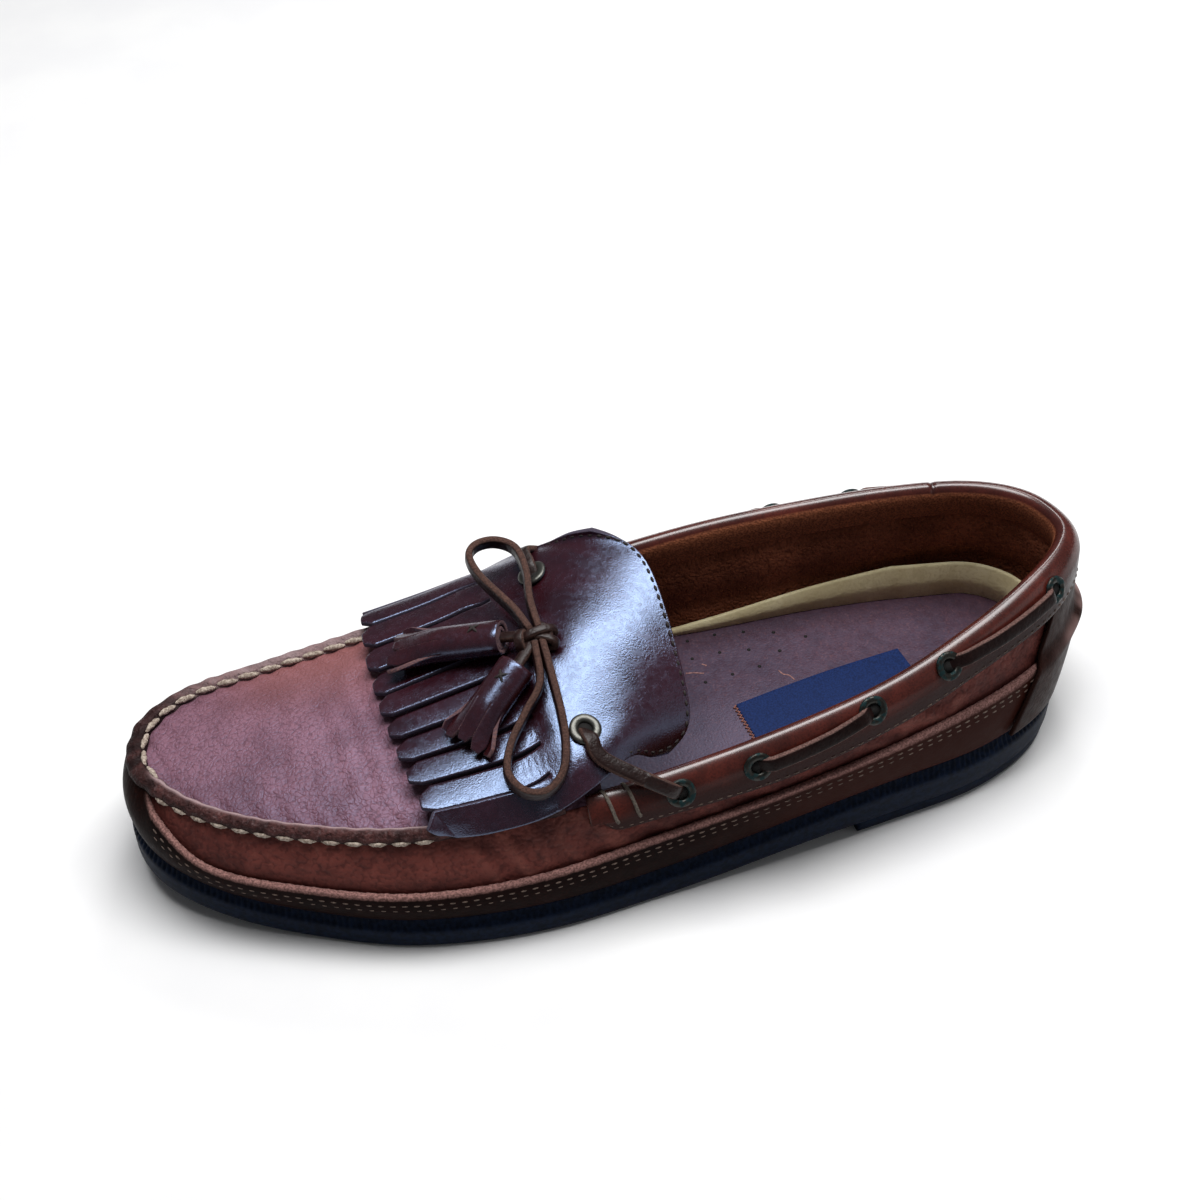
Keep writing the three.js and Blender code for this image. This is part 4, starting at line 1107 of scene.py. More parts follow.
def outsole():
    dense = np.linspace(0, 360, 7201)
    around = length_along(edge_point(dense))

    def side(angles):
        rib = RIB_DEPTH * np.sin(2 * np.pi * np.interp(angles, dense, around) / RIB_PITCH)
        x = edge_point(angles)[:, 0]
        ledge, ribbed, bottom = ledge_height(x), rib_height(x), bottom_height(x)
        # Each line's inset from the edge, and its height
        return edge_rows(angles, (
            (FEATHER_INSET - 0.6, ledge),
            (FEATHER_INSET - 1, ledge - 0.2),
            (2.2 + rib, mix(ledge, ribbed, 0.15)),
            (0.8 + rib, mix(ledge, ribbed, 0.7)),
            (0.35, mix(ledge, ribbed, 0.78)),
            (0.1, ribbed + 0.3),
            (0, ribbed - 0.4),
            (0, ribbed - 0.9),
            (0, mix(ribbed, bottom + SOLE_BEVEL, 0.6)),
            (0, bottom + SOLE_BEVEL),
            (0.5, bottom + 0.5),
            (SOLE_BEVEL, bottom),
        ))

    return slab(np.linspace(SOLE_END_ANGLE, 180 - SOLE_END_ANGLE, 1000), side, crossings=14)


def heel():
    breast_angle = math.degrees(math.acos(HEEL_BREAST_X / SOLE_HALF_LENGTH))

    def side(angles):
        return edge_rows(angles, ((0.5, HEEL_TOP), (0.5, SOLE_BEVEL), (0.9, 0.5), (SOLE_BEVEL, 0.0)))

    return slab(np.linspace(breast_angle, SOLE_END_ANGLE, 140), side, crossings=12)


piece("outsole_rubber", joined([outsole(), heel()]), RUBBER, ("outsole",))

# Creases of the wall, by side: start and end in X and Z, width and depth
LATERAL_CREASES = (
    ((-54, 37), (-47, 25), 2.2, 0.55),
    ((-45, 38), (-41, 28), 1.8, 0.45),
    ((-28, 34), (-20, 25), 2.4, 0.5),
    ((-12, 33), (-3, 26), 2.2, 0.45),
    ((16, 33), (30, 30), 1.8, 0.35),
    ((58, 44), (72, 39), 2.0, 0.5),
    ((74, 47), (90, 42), 2.2, 0.55),
    ((84, 44), (98, 46), 1.8, 0.4),
)
MEDIAL_CREASES = (
    ((-56, 40), (-48, 27), 2.4, 0.5),
    ((-36, 42), (-30, 30), 2.2, 0.5),
    ((-10, 46), (0, 34), 2.4, 0.45),
    ((60, 50), (78, 44), 2.2, 0.5),
)


def wall_relief(angle, place):
    x, z = place[..., 0], place[..., 2]
    is_lateral = np.mod(angle, 360) < 180
    return np.where(is_lateral, creased(x, z, LATERAL_CREASES), creased(x, z, MEDIAL_CREASES))


# Vamp and quarters: the outer leather of the wall, up to the seam or to the rim under the collar
VAMP_SHADE = 0.55
VAMP_SHADE_WIDTH = 3.0
VAMP_WEAR = 0.25
VAMP_WORN_RELIEF = (0.1, 0.3)


def vamp_and_quarters():
    angles = np.linspace(0, 360, 520, endpoint=False)[:, None]
    top = 1 - rim_drop(angles) / wall_height(angles)
    share = np.linspace(0, 1, 40)[None] * top
    place = wall_point(angles, share)
    relief = wall_relief(angles, place)
    outside = wall_at(angles, share, relief)
    inside = wall_at(angles, share, relief - SKIN)
    shade_by_foxing = VAMP_SHADE * bell(place[..., 2] - last_value("fox", angles), VAMP_SHADE_WIDTH)
    worn_ridges = VAMP_WEAR * smooth_step(relief, *VAMP_WORN_RELIEF)
    marks = {"dark": shade_by_foxing, "wear": worn_ridges}
    both_sides = {name: np.concatenate([value, value[:, ::-1]], 1) for name, value in marks.items()}
    return sweep(np.concatenate([outside, inside[:, ::-1]], 1), closed=True, **both_sides)


piece("vamp_and_quarters", vamp_and_quarters(), VAMP_LEATHER, ("upper",))


# Lining, with a padded roll under the collar that ends towards the throat, and shade below the roll
LINING_DROP = 1.2
LINING_GAP = 0.15
PAD_THICKNESS = 2.6
PAD_TOP = 5
PAD_HEIGHT = 26
PAD_END_ANGLES = (84, 97)
LINING_SHADE = 0.5
LINING_SHADE_DROPS = (20, 34)


def lining():
    angles = np.linspace(0, 360, 320, endpoint=False)[:, None]
    top = 1 - (rim_drop(angles) + LINING_DROP) / wall_height(angles)
    share = np.linspace(0, 1, 36)[None] * top
    drop = (1 - share) * wall_height(angles)
    round_collar = 1 - smooth_step(np.minimum(angles, 360 - angles), *PAD_END_ANGLES)
    pad = PAD_THICKNESS * np.sin(np.pi * np.clip((drop - PAD_TOP) / PAD_HEIGHT, 0, 1)) * round_collar
    outside = wall_at(angles, share, -SKIN - LINING_GAP)
    inside = wall_at(angles, share, -WALL - pad)
    shade = LINING_SHADE * smooth_step(drop, *LINING_SHADE_DROPS) * round_collar
    dark = np.concatenate([0 * pad, shade[:, ::-1]], 1)
    return sweep(np.concatenate([outside, inside[:, ::-1]], 1), closed=True, dark=dark)


piece("suede_lining", lining(), LINING_SUEDE, ("upper",))


# Plug: the domed top of the toe inside the seam, gathered along the seam and creased across, with painted
# shade along the seam and a painted sheen that gives way to brown leather on the far side
SEAM_PITCH = 6.6
PLUG_TOE_ANGLE = 179.0
PLUG_EDGE = 0.2
CROWN_SHIFTS = (-8, -4, 0, 4, 8)
GATHER_SLANT = 0.35
GATHER_DEPTH = 0.28
GATHER_INSET = 5
PLUG_SHADE = 0.75
PLUG_SHADE_WIDTH = 4.5
PLUG_SHEEN_FADE = 0.7
PLUG_CREASES = (
    ((-72, -30), (-78, 18), 2.6, 0.55),
    ((-80, -24), (-84, 22), 2.2, 0.4),
    ((-88, -22), (-90, 10), 2.0, 0.3),
    ((-66, -34), (-70, 30), 2.4, 0.45),
    ((-104, -14), (-101, 14), 2.0, 0.22),
)


def plug_surface(angle, across):
    near = top_point(angle)
    far = top_point(360 - angle)
    place = mix(near, far, across[..., None])
    crowns = [np.interp(place[..., 0] + shift, PLUG_X, PLUG_CROWN) for shift in CROWN_SHIFTS]
    place[..., 2] += np.mean(crowns, 0) * 4 * across * (1 - across)
    return place, np.linalg.norm(far - near, axis=-1)


def plug():
    angle = np.linspace(PLUG_TOE_ANGLE, THROAT_ANGLE, 170)[:, None]
    angle, across = np.broadcast_arrays(angle, np.linspace(0, 1, 120)[None])
    place, width = plug_surface(angle, across)
    x, y = place[..., 0], place[..., 1]
    toe_x = TOP_MIDDLE_X - TOP_HALF_LENGTH
    inset = np.minimum(np.minimum(across, 1 - across) * width, (x - toe_x) * 0.8)
    waves = np.cos(2 * np.pi * (x + GATHER_SLANT * y) / SEAM_PITCH)
    gathers = GATHER_DEPTH * waves * bell(inset - GATHER_INSET, GATHER_INSET)
    place[..., 2] += gathers + creased(x, y, PLUG_CREASES)
    shade_by_seam = PLUG_SHADE * bell(inset, PLUG_SHADE_WIDTH)
    # Painted light: towards the far back the painted mauve sheen gives way to the brown leather, where no
    # sheen falls
    unsheened_far_side = PLUG_SHEEN_FADE * smooth_step(y + 0.25 * x, -22, 16) * smooth_step(x, -134, -96)
    return leather_sheet(
        place[:, ::-1], SKIN, PLUG_EDGE, dark=shade_by_seam[:, ::-1], wear=unsheened_far_side[:, ::-1])


piece("plug", plug(), PLUG_LEATHER, ("upper",))


# Moccasin seam: a pinched ridge with thick stitches
SEAM_TOE_ANGLE = 184
SEAM_TOE_SPREAD = 18
SEAM_TOE_SHADE_SPREAD = 22
SEAM_LEAN = 0.5
SEAM_PUCKER = 0.07
RIDGE_POINTS = 28
RIDGE_SQUARENESS = 0.75
CUT_EDGE_TURN = 2.6
CUT_EDGE_WIDTH = 0.3
CUT_EDGE_END_ANGLES = (164, 172)
LIT_FAR_SIDE_ANGLES = (198, 226)
SEAM_STITCH_SIDE = 0.97
SEAM_STITCH_HEIGHT = 0.75
SEAM_STITCH_LEAN = 0.45

# Rows of stitches: first and last angle, side of the ridge (-1 the plug's, 1 the wall's), thread radius,
# share of the pitch that a stitch fills, and its slant
SEAM_ROWS = (
    (117, 164, 1, 0.8, 0.86, 0.0),
    (166, 256, -1, 0.9, 1.02, 0.7),
    (196, 257, 1, 0.8, 0.86, 0.0),
)


def ridge_width(angles):
    return mix(RIDGE_WIDTH, RIDGE_TOE_WIDTH, bell(angles - SEAM_TOE_ANGLE, SEAM_TOE_SPREAD))[:, None]


def seam_frame(angles):
    """Middle of the ridge, and its arrows outwards and up."""
    path = top_point(angles)
    outward = raised(edge_outward(angles), 0.0)
    tangents = unit(np.gradient(path, axis=0))
    ups = unit(outward * SEAM_LEAN + UP)
    sides = unit(np.cross(tangents, ups))
    sides *= np.sign(np.sum(sides * outward, -1, keepdims=True))
    return path - sides * RIDGE_INSET, sides, unit(ups - tangents * np.sum(ups * tangents, -1, keepdims=True))


def seam_ridge():
    """The ridge, puckered between its stitches, darkest at the toe.

    It has a pale cut edge along the near side, and a painted highlight on the far side, where light falls on
    it.
    """
    angles = np.linspace(SEAM_ANGLE, 360 - SEAM_ANGLE, 1100)
    path, sides, ups = seam_frame(angles)
    along = length_along(path)[:, None]
    phi = round_turns(RIDGE_POINTS)[None]
    toe = bell(angles - SEAM_TOE_ANGLE, SEAM_TOE_SHADE_SPREAD)[:, None]
    pucker = 1 - SEAM_PUCKER * np.cos(np.pi * along / SEAM_PITCH) ** 2
    folds = np.sin(along / 1.3 + 2.4 * np.sin(phi) + 1.7 * np.sin(along / 7)) * np.sin(along / 4.1)
    swell = pucker + (0.035 + 0.04 * toe) * folds
    wide = ridge_width(angles) * np.cos(phi) * swell
    tall = RIDGE_HEIGHT * np.sign(np.sin(phi)) * np.abs(np.sin(phi)) ** RIDGE_SQUARENESS * swell
    sections = path[:, None] + sides[:, None] * wide[..., None] + ups[:, None] * tall[..., None]
    near = 1 - smooth_step(angles, *CUT_EDGE_END_ANGLES)[:, None]
    cut_edge = bell(phi - CUT_EDGE_TURN, CUT_EDGE_WIDTH) * near
    # Painted highlight: the far side, where light falls on the ridge's top, is blended towards the pale
    # colour
    far = smooth_step(angles, *LIT_FAR_SIDE_ANGLES)[:, None]
    foot = 1 - smooth_step(np.sin(phi), 0.1, 0.7)
    # Painted shade: darker along the lower flank and in the puckers' hollows, paler on the puckers' crests
    dark = 0.25 + 0.6 * foot + 0.6 * toe - 0.35 * folds - 1.2 * cut_edge - 0.6 * far
    wear = 0.75 * cut_edge + (0.4 + 0.12 * folds) * far
    return sweep(sections, dark=np.clip(dark, 0, 1), wear=np.clip(wear, 0, 1))


def seam_stitches(first, last, lean, radius, fill, slant):
    angles = np.linspace(first, last, 500)
    path, sides, ups = seam_frame(angles)
    curve = path + sides * lean * SEAM_STITCH_SIDE * ridge_width(angles) + ups * SEAM_STITCH_HEIGHT
    lifts = unit(sides * lean + ups * SEAM_STITCH_LEAN)
    return thread_row(
        curve, lifts, SEAM_PITCH, fill, radius, lift=0.15, rings=11, sides=10, twist=0.16, slant=slant)


seam_thread = joined([seam_stitches(*row) for row in SEAM_ROWS])
piece("moccasin_seam", seam_ridge(), RIDGE_LEATHER, ("upper",))
piece("moccasin_stitches", seam_thread, CREAM_THREAD, ())


# Foxing: band round the foot of the wall with a raw upper edge and two rows of stitches
FOXING_FACE_ROWS = 22
FOXING_STITCH_DROPS = (2.6, 4.6)
FOXING_TOE_START_ANGLES = (163, 168)
FOXING_TOE_END_ANGLES = (193, 199)
FOXING_RAGGED = 0.18
FOXING_BULGE = 0.25
FOXING_BACK_PALENESS = 0.5
FOXING_PALE_X = (0, 60)

# Raw lip over the foxing's upper edge: share of the wall above the edge, and distance out
LIP_SHARES = np.array([[0.014, 0.024, 0.026, 0.018]])
LIP_OUTS = np.array([[2.1, 1.6, 0.9, 0.3]])


def foxing_toe(angles):
    """1 where the foxing covers the toe up to the ridge."""
    return smooth_step(angles, *FOXING_TOE_START_ANGLES) * (1 - smooth_step(angles, *FOXING_TOE_END_ANGLES))


def foxing_top(angles):
    low = last_value("fox", angles)
    return mix(low, last_value("rise", angles) - 0.8, foxing_toe(np.mod(angles, 360)))


def foxing():
    angles = np.linspace(0, 360, 900, endpoint=False)[:, None]
    toe = foxing_toe(angles)
    foot = FOXING_FOOT / wall_height(angles)
    ragged = FOXING_RAGGED * np.sin(angles * 1.9) * np.sin(angles * 5.3)
    top = share_at_height(angles, foxing_top(angles) + ragged)
    face = np.linspace(0, 1, FOXING_FACE_ROWS)[None]
    bulge = FOXING_BULGE * np.sin(np.pi * face) - 1.2 * toe * face**3
    lip_out = LIP_OUTS * (1 - 0.55 * toe)
    back_out = np.full((len(angles), FOXING_FACE_ROWS), 0.12)
    share = np.concatenate([mix(foot, top, face), top + LIP_SHARES, mix(foot, top, face[:, ::-1])], 1)
    offset = np.concatenate([OVERLAY + 0.15 + bulge, lip_out, back_out], 1)
    upper_edge = smooth_step(face, 0.92, 0.98)[0]
    lip = np.concatenate([upper_edge, np.ones(LIP_SHARES.size), np.zeros(FOXING_FACE_ROWS)])[None]
    # Paler towards the heel
    paler_back = FOXING_BACK_PALENESS * smooth_step(wall_point(angles, 0)[..., 0], *FOXING_PALE_X)
    return sweep(wall_at(angles, share, offset), closed=True, raw=lip * (1 - toe), wear=paler_back)


def foxing_stitches():
    angles = np.linspace(197, 523, 1400)
    skins = []
    for drop in FOXING_STITCH_DROPS:
        share = share_at_height(angles, foxing_top(angles) - drop)
        curve = wall_at(angles, share, OVERLAY + 0.25)
        ups = wall_normal(angles, share)
        skins.append(thread_row(curve, ups, pitch=3.4, fill=0.66, radius=0.32, lift=0.1))
    return joined(skins)


piece("foxing_band", foxing(), FOXING_LEATHER, ("foxing",))
piece("foxing_stitches", foxing_stitches(), TAN_THREAD, ())


# Heel panel: from the collar to the sole over the foxing, with a worn ridge at the foxing's edge
PANEL_THICKNESS = 1.3
PANEL_EDGE = 0.3
PANEL_LIFT = 0.5
PANEL_BULGE_ANGLE = 1.5
PANEL_RIDGE = 1.8
PANEL_WEAR = 0.75


def panel_lift(share, fox):
    on_foxing = 1 - smooth_step(share, fox - 0.02, fox + 0.12)
    return PANEL_LIFT + on_foxing * (OVERLAY + 0.3)


def heel_panel():
    rise = np.linspace(0, 1, 60)[:, None]
    half = mix(PANEL_FOOT_ANGLE, PANEL_TOP_ANGLE, rise) + PANEL_BULGE_ANGLE * np.sin(np.pi * rise)
    angles = half * np.linspace(-1, 1, 120)[None]
    foot = FOXING_FOOT / wall_height(angles)
    top = share_at_height(angles, last_value("band", angles) + 1.5)
    share = mix(foot, top, rise)
    fox = share_at_height(angles, foxing_top(angles))
    ridge = PANEL_RIDGE * bell(share - fox - 0.02, 0.035) * smooth_step(-np.abs(angles), -30, -10)
    grid = wall_at(angles, share, panel_lift(share, fox) + 1.4 + ridge)
    waves = 0.4 * np.sin(angles * 0.31 + 1) + 0.3 * np.sin(angles * 0.83) * np.sin(angles * 0.17)
    patchy = np.clip(0.5 + waves, 0, 1) * smooth_step(-np.abs(angles), -32, -14)
    wear = PANEL_WEAR * patchy * bell(share - fox - 0.025, 0.04)
    return leather_sheet(grid[:, ::-1], PANEL_THICKNESS, PANEL_EDGE, wear=wear[:, ::-1])


piece("heel_panel_leather", heel_panel(), HEEL_LEATHER, ("heel_panel",))


# Collar: a smooth padded roll folded over the rim, whose lower edge rises at its front ends
COLLAR_END_SHARES = (0.955, 1.0)
COLLAR_END_LOW = -2.0
COLLAR_END_RISE = 0.75


def collar_low(angles):
    lowest = last_value("band", angles) - last_value("rise", angles)
    end = np.minimum(np.abs(angles) / BAND_FRONT_ANGLE, 1)
    return mix(lowest, COLLAR_END_LOW, smooth_step(end, *COLLAR_END_SHARES) ** 2 * COLLAR_END_RISE)


COLLAR_FACE_POINTS = 54
COLLAR_JOIN_ANGLE = -38
COLLAR_FOLD = -5.0
COLLAR_TAPER = 0.35
WHIP_THREAD = 1.0
WHIP_ANGLES = ((95.2, 98.2), (92.6, 95.6))
WHIP_FACE_POINTS = slice(13, 36)

# Looks over the roll's face, whose points are counted from its lower edge
FOLD_SHADE = 0.95
FOLD_SHADE_POINTS = (8, 22)
JOIN_SHADE = 0.8
POLISH_START_POINTS = (14, 26)
POLISH_END_POINTS = (34, 42)
SUEDE_POINTS = (38, 40)


def profile_columns(pairs, like):
    """Two tables, rises and distances out, with a column for each pair and a row for each value of like."""
    return (np.stack(np.broadcast_arrays(like, *column)[1:], 1) for column in zip(*pairs))


def face_curve(columns):
    """Cubic curve through the columns of a table, sampled over the roll's face."""
    turn = np.linspace(0, columns.shape[1] - 1, COLLAR_FACE_POINTS)
    return cubic_at(columns.T, turn).T


def collar_profile(angles):
    """Rise and distance out of each place over the roll's face, from its lower edge to its inner hem."""
    low = collar_low(angles)
    rises, outs = profile_columns((
        (low, 1.5), (low + 0.5, 2.15), (mix(low, COLLAR_FOLD, 0.35), 2.5), (mix(low, COLLAR_FOLD, 0.75), 3.0),
        (COLLAR_FOLD, 3.25), (-2.2, 2.9), (0.2, 1.9), (1.8, 0.4), (2.3, -1.0), (1.7, -2.7), (0.3, -4.0),
        (-3.0, -4.8), (-7.0, -4.8), (-9.5, -4.5),
    ), low)
    taper = 1 - COLLAR_TAPER * smooth_step(np.abs(angles) / BAND_FRONT_ANGLE, 0.97, 1.0)
    seam = 0.5 * bell(angles - COLLAR_JOIN_ANGLE, 0.5)
    return face_curve(rises) - seam[:, None], face_curve(outs) * taper[:, None]


def collar_roll():
    """The roll, dark along its lower fold and its join, polished on top, and suede on its inner side."""
    angles = np.linspace(-BAND_FRONT_ANGLE, BAND_FRONT_ANGLE, 720)
    low = collar_low(angles)
    rim = GAP - rim_drop(angles)
    back = (
        (-9.3, -3.3), (-6.0, -2.7), (rim, -2.7), (rim, 0.25), (mix(low, COLLAR_FOLD, 0.5), 0.25),
        (low + 0.1, 0.6),
    )
    sides = zip(collar_profile(angles), profile_columns(back, low))
    rises, outs = (np.concatenate(side, 1) for side in sides)
    face = np.arange(COLLAR_FACE_POINTS)

    def face_mark(values, behind):
        return np.concatenate([values, np.full(len(back), behind)])[None]

    fold = face_mark(FOLD_SHADE * (1 - smooth_step(face, *FOLD_SHADE_POINTS)), 0.0)
    join = JOIN_SHADE * bell(angles - COLLAR_JOIN_ANGLE, 0.35)[:, None]
    on_top = smooth_step(face, *POLISH_START_POINTS) * (1 - smooth_step(face, *POLISH_END_POINTS))
    polish = face_mark(on_top, 0.0)
    suede = face_mark(smooth_step(face, *SUEDE_POINTS), 1.0)
    return sweep(
        collar_at(angles[:, None], rises, outs), dark=np.clip(fold + join, 0, 1), polish=polish, raw=suede)


def whip_stitches():
    """Thread looped over the front end of the collar, at the tongue's side."""
    skins = []
    for side in (1, -1):
        for first, last in WHIP_ANGLES:
            angles = side * np.linspace(first, last, COLLAR_FACE_POINTS)
            rises, outs = (np.diagonal(table) for table in collar_profile(angles))
            curve = collar_at(angles, rises, outs + 0.3)[WHIP_FACE_POINTS]
            around = np.gradient(curve, axis=0)
            skins.append(strap(curve, np.cross(around, [1.0, 0, 0]), WHIP_THREAD, WHIP_THREAD))
    return joined(skins)


def collar_stitches():
    angles = np.linspace(-BAND_FRONT_ANGLE + 1, BAND_FRONT_ANGLE - 1, 1400)
    share = 1 + (collar_low(angles) + 1.4) / wall_height(angles)
    curve = wall_at(angles, share, 2.3)
    return thread_row(curve, wall_normal(angles, share), pitch=3.0, fill=0.7, radius=0.3, lift=0.1)


piece("collar_roll", collar_roll(), COLLAR_LEATHER, ("collar_band",))
piece("collar_stitches", collar_stitches(), TAN_THREAD, ())
piece("whip_stitches", whip_stitches(), GREY_THREAD, ())


# Insole, dark discs of painted shade for its holes, the bare label, and the cup round the heel
def insole_edge(angles):
    foot = wall_point(angles, np.zeros_like(angles))
    toe_part = smooth_step(-foot[..., 0], -SPRING_START_X, SOLE_HALF_LENGTH - FEATHER_INSET)
    return inside_at(angles, foot[..., 2] + INSOLE_THICKNESS, mix(INSOLE_CLEARANCE, TOE_CLEARANCE, toe_part))


# Rows of holes: X and Y of the first, how many, and how far the row bows
HOLE_PITCH = 9.1
HOLE_ROWS = (
    (-58.0, 24.0, 8, 0.0), (-53.4, 14.0, 7, 0.0), (-58.0, 4.0, 7, 0.0), (-53.4, -6.0, 7, 0.0),
    (-58.0, -16.0, 7, 0.0), (32.5, 26.3, 5, 0.75), (31.5, 18.4, 4, 0.8), (32.2, 7.2, 3, 0.0),
)

# Scratches, as places in X and Y
SCRATCHES = (
    ((55.4, 3.4), (56.2, 1.4), (57.8, 0.2), (58.8, -2.2)),
    ((27.5, 13.2), (30.0, 12.4), (32.9, 11.0)),
    ((33.6, 15.0), (34.8, 13.8)),
)
SCRATCH_WIDTH = 0.45
SCRATCH_THICKNESS = 0.16

# Corners of the label in X and Y, from its front medial corner round
LABEL_CORNERS = np.array([(38, -5.6), (95, 0.1), (98, -25), (40, -31)])
LABEL_THICKNESS = 0.4
LABEL_EDGE = 0.15


def on_footbed(flat, lift):
    """Places in the plane, lifted above the footbed."""
    return raised(flat, insole_top(flat[..., 0]) + lift)


def footbed():
    stations = np.linspace(179.2, 0.8, 150)
    near, far = insole_edge(stations), insole_edge(360 - stations)
    across = np.linspace(0, 1, 60)[None, :, None]
    flat = mix(near[:, None], far[:, None], across)[..., :2]
    return leather_sheet(on_footbed(flat, 0.0)[:, ::-1], INSOLE_THICKNESS - 0.2, 0.2)


def footbed_scratches():
    """Scuffed lines where the footbed's surface has lifted."""
    skins = []
    for line in SCRATCHES:
        curve = on_footbed(curve_through(line, 24), 0.03)
        tangents = np.gradient(curve, axis=0)
        skins.append(strap(curve, np.cross(UP, tangents), SCRATCH_WIDTH, SCRATCH_THICKNESS))
    return joined(skins)


def footbed_hole_shades():
    """Dark discs of painted shade for small round perforations in rows, some of them bowed."""
    turns = round_turns(10)
    ring = np.stack([np.cos(turns), np.sin(turns), 0 * turns], -1)
    skins = []
    for x_first, y_first, count, bow in HOLE_ROWS:
        for hole in range(count):
            flat = np.array([x_first + HOLE_PITCH * hole, y_first - bow * hole * hole])
            loops = [on_footbed(flat, -0.5) + ring * 0.5, on_footbed(flat, 0.05) + ring * 0.62]
            skins.append(sweep(np.stack(loops)))
    return joined(skins)


def label():
    front_far, back_far, back_near, front_near = LABEL_CORNERS
    along = np.linspace(0, 1, 60)[:, None, None]
    across = np.linspace(0, 1, 24)[None, :, None]
    flat = mix(mix(front_far, back_far, along), mix(front_near, back_near, along), across)
    return leather_sheet(on_footbed(flat, 0.45), LABEL_THICKNESS, LABEL_EDGE)


def label_stitches():
    """A close zigzag along the label's front end."""
    share = np.linspace(0, 1, 35)[:, None]
    flat = mix(LABEL_CORNERS[0], LABEL_CORNERS[3], share) - [1.2, 0.1]
    flat[::2, 0] += 1.0
    return strap(on_footbed(flat, 0.2), [1.0, 0, 0], 0.6, 0.5)


def heel_cup():
    angles = np.linspace(-CUP_HALF_ANGLE, CUP_HALF_ANGLE, 200)
    taper = np.clip((CUP_HALF_ANGLE - np.abs(angles)) / CUP_TAPER_ANGLE, 0, 1)
    floor = insole_top(wall_point(angles, np.zeros_like(angles))[:, 0]) + GAP
    fade = smooth_step(np.abs(angles), CUP_FADE_START, CUP_FADE_END)
    clearance = mix(CUP_CLEARANCE, CUP_END_CLEARANCE, fade)
    loops = [
        inside_at(angles, floor + (1 + CUP_HEIGHT * taper) * rise, clearance + CUP_WALL * out)
        for rise, out in ((0, 0), (0.5, 0), (0.93, 0), (1, 0.3), (1, 0.7), (0.93, 1), (0.5, 1), (0, 1))
    ]
    return sweep(np.stack(loops, 1))


piece("footbed", footbed(), FOOTBED_LEATHER, ("insole",))
piece("footbed_scratches", footbed_scratches(), SCUFF_PINK, ())
piece("footbed_hole_shades", footbed_hole_shades(), HOLE_SHADE, ())
piece("label_bare", label(), LABEL_NAVY, ())
piece("label_stitches", label_stitches(), RUST_THREAD, ())
piece("heel_cup_leather", heel_cup(), CUP_LEATHER, ("heel_cup",))


# Kiltie: tongue and fringe in one piece of leather
KILTIE_CREASES = (
    ((-21, 27), (-24, -2), 5.0, 0.6),
    ((-24, -4), (-19, -34), 5.0, 0.5),
    ((-33, -30), (-36, 30), 2.6, 0.3),
    ((-12, -30), (-16, 22), 6.0, 0.3),
    ((4, 18), (10, -8), 6.0, 0.3),
)
KILTIE_STRIP_COLUMNS = 17
KILTIE_TIP_ROW = 0.3
KILTIE_BACK_ROW = 5.98
KILTIE_EDGE = 0.25
STRIP_LIFTS = (-0.2, 0.7)
STRIP_SHINGLE = (0.25, -0.2)
STRIP_CROWN = 0.14
NEAR_STRIP_FLAT = 0.35
CRINKLE_DEPTH = 0.022
CRINKLE_X = -36
CRINKLE_WIDTH = 6


def kiltie():
    """Each strip of the fringe lies over the next like a shingle, and the near one is flat and droops."""
    strip, place = strip_columns(len(FRINGE), KILTIE_STRIP_COLUMNS)
    ends, shorter = np.array(FRINGE).T
    starts = np.concatenate([[FRINGE_START], ends[:-1]])
    rows = np.concatenate([
        np.linspace(0, KILTIE_TIP_ROW, 22)[:-1],
        np.linspace(KILTIE_TIP_ROW, KILTIE_ROOT, 60)[:-1],
        np.linspace(KILTIE_ROOT, KILTIE_BACK_ROW, 96),
    ])
    free = np.clip((KILTIE_ROOT - rows[:, None]) / KILTIE_ROOT, 0, 1)
    row = rows[:, None] + shorter[strip][None] * free
    clip = FRINGE_CLIP * (1 - np.clip(rows[:, None] / FRINGE_CLIP_ROW, 0, 1))
    width = (ends - starts - FRINGE_SLIT)[strip][None]
    across = (starts + FRINGE_SLIT / 2)[strip][None] + width * mix(0.75 * clip, 1 - clip, place)
    grid = kiltie_at(row, across, LEATHER / 2)
    normal = kiltie_normal(row, across)
    x, y = grid[..., 0], grid[..., 1]
    lift = rng.uniform(*STRIP_LIFTS, len(FRINGE))[strip][None] * free**2
    shingle = mix(*STRIP_SHINGLE, place)
    crown = STRIP_CROWN * (2 * place - 1) ** 2
    droop = NEAR_DROOP * np.clip((FRINGE[0][0] - across) / FRINGE[0][0], 0, 1)
    waves = np.sin(x * 3.4 + 1.4 * np.sin(y * 0.9) + 2.2 * np.sin(y * 0.31))
    crinkle = CRINKLE_DEPTH * waves * bell(x - CRINKLE_X, CRINKLE_WIDTH)
    relief = lift + (shingle - crown - droop) * np.sqrt(free) + creased(x, y, KILTIE_CREASES) + crinkle
    grid = grid + normal * relief[..., None]
    near = slice(0, KILTIE_STRIP_COLUMNS)
    near_edges = grid[:, :1], grid[:, KILTIE_STRIP_COLUMNS - 1:KILTIE_STRIP_COLUMNS]
    flat = mix(*near_edges, place[:, near, None]) + NEAR_STRIP_LIFT * normal[:, near]
    grid[:, near] = mix(grid[:, near], flat, smooth_step(free, 0, NEAR_STRIP_FLAT)[..., None])
    keep = cut_between(strip, rows[:-1] < KILTIE_ROOT)
    return leather_sheet(grid[:, ::-1], LEATHER, KILTIE_EDGE, keep[:, ::-1])


TONGUE_SEAM_INSET = 0.045

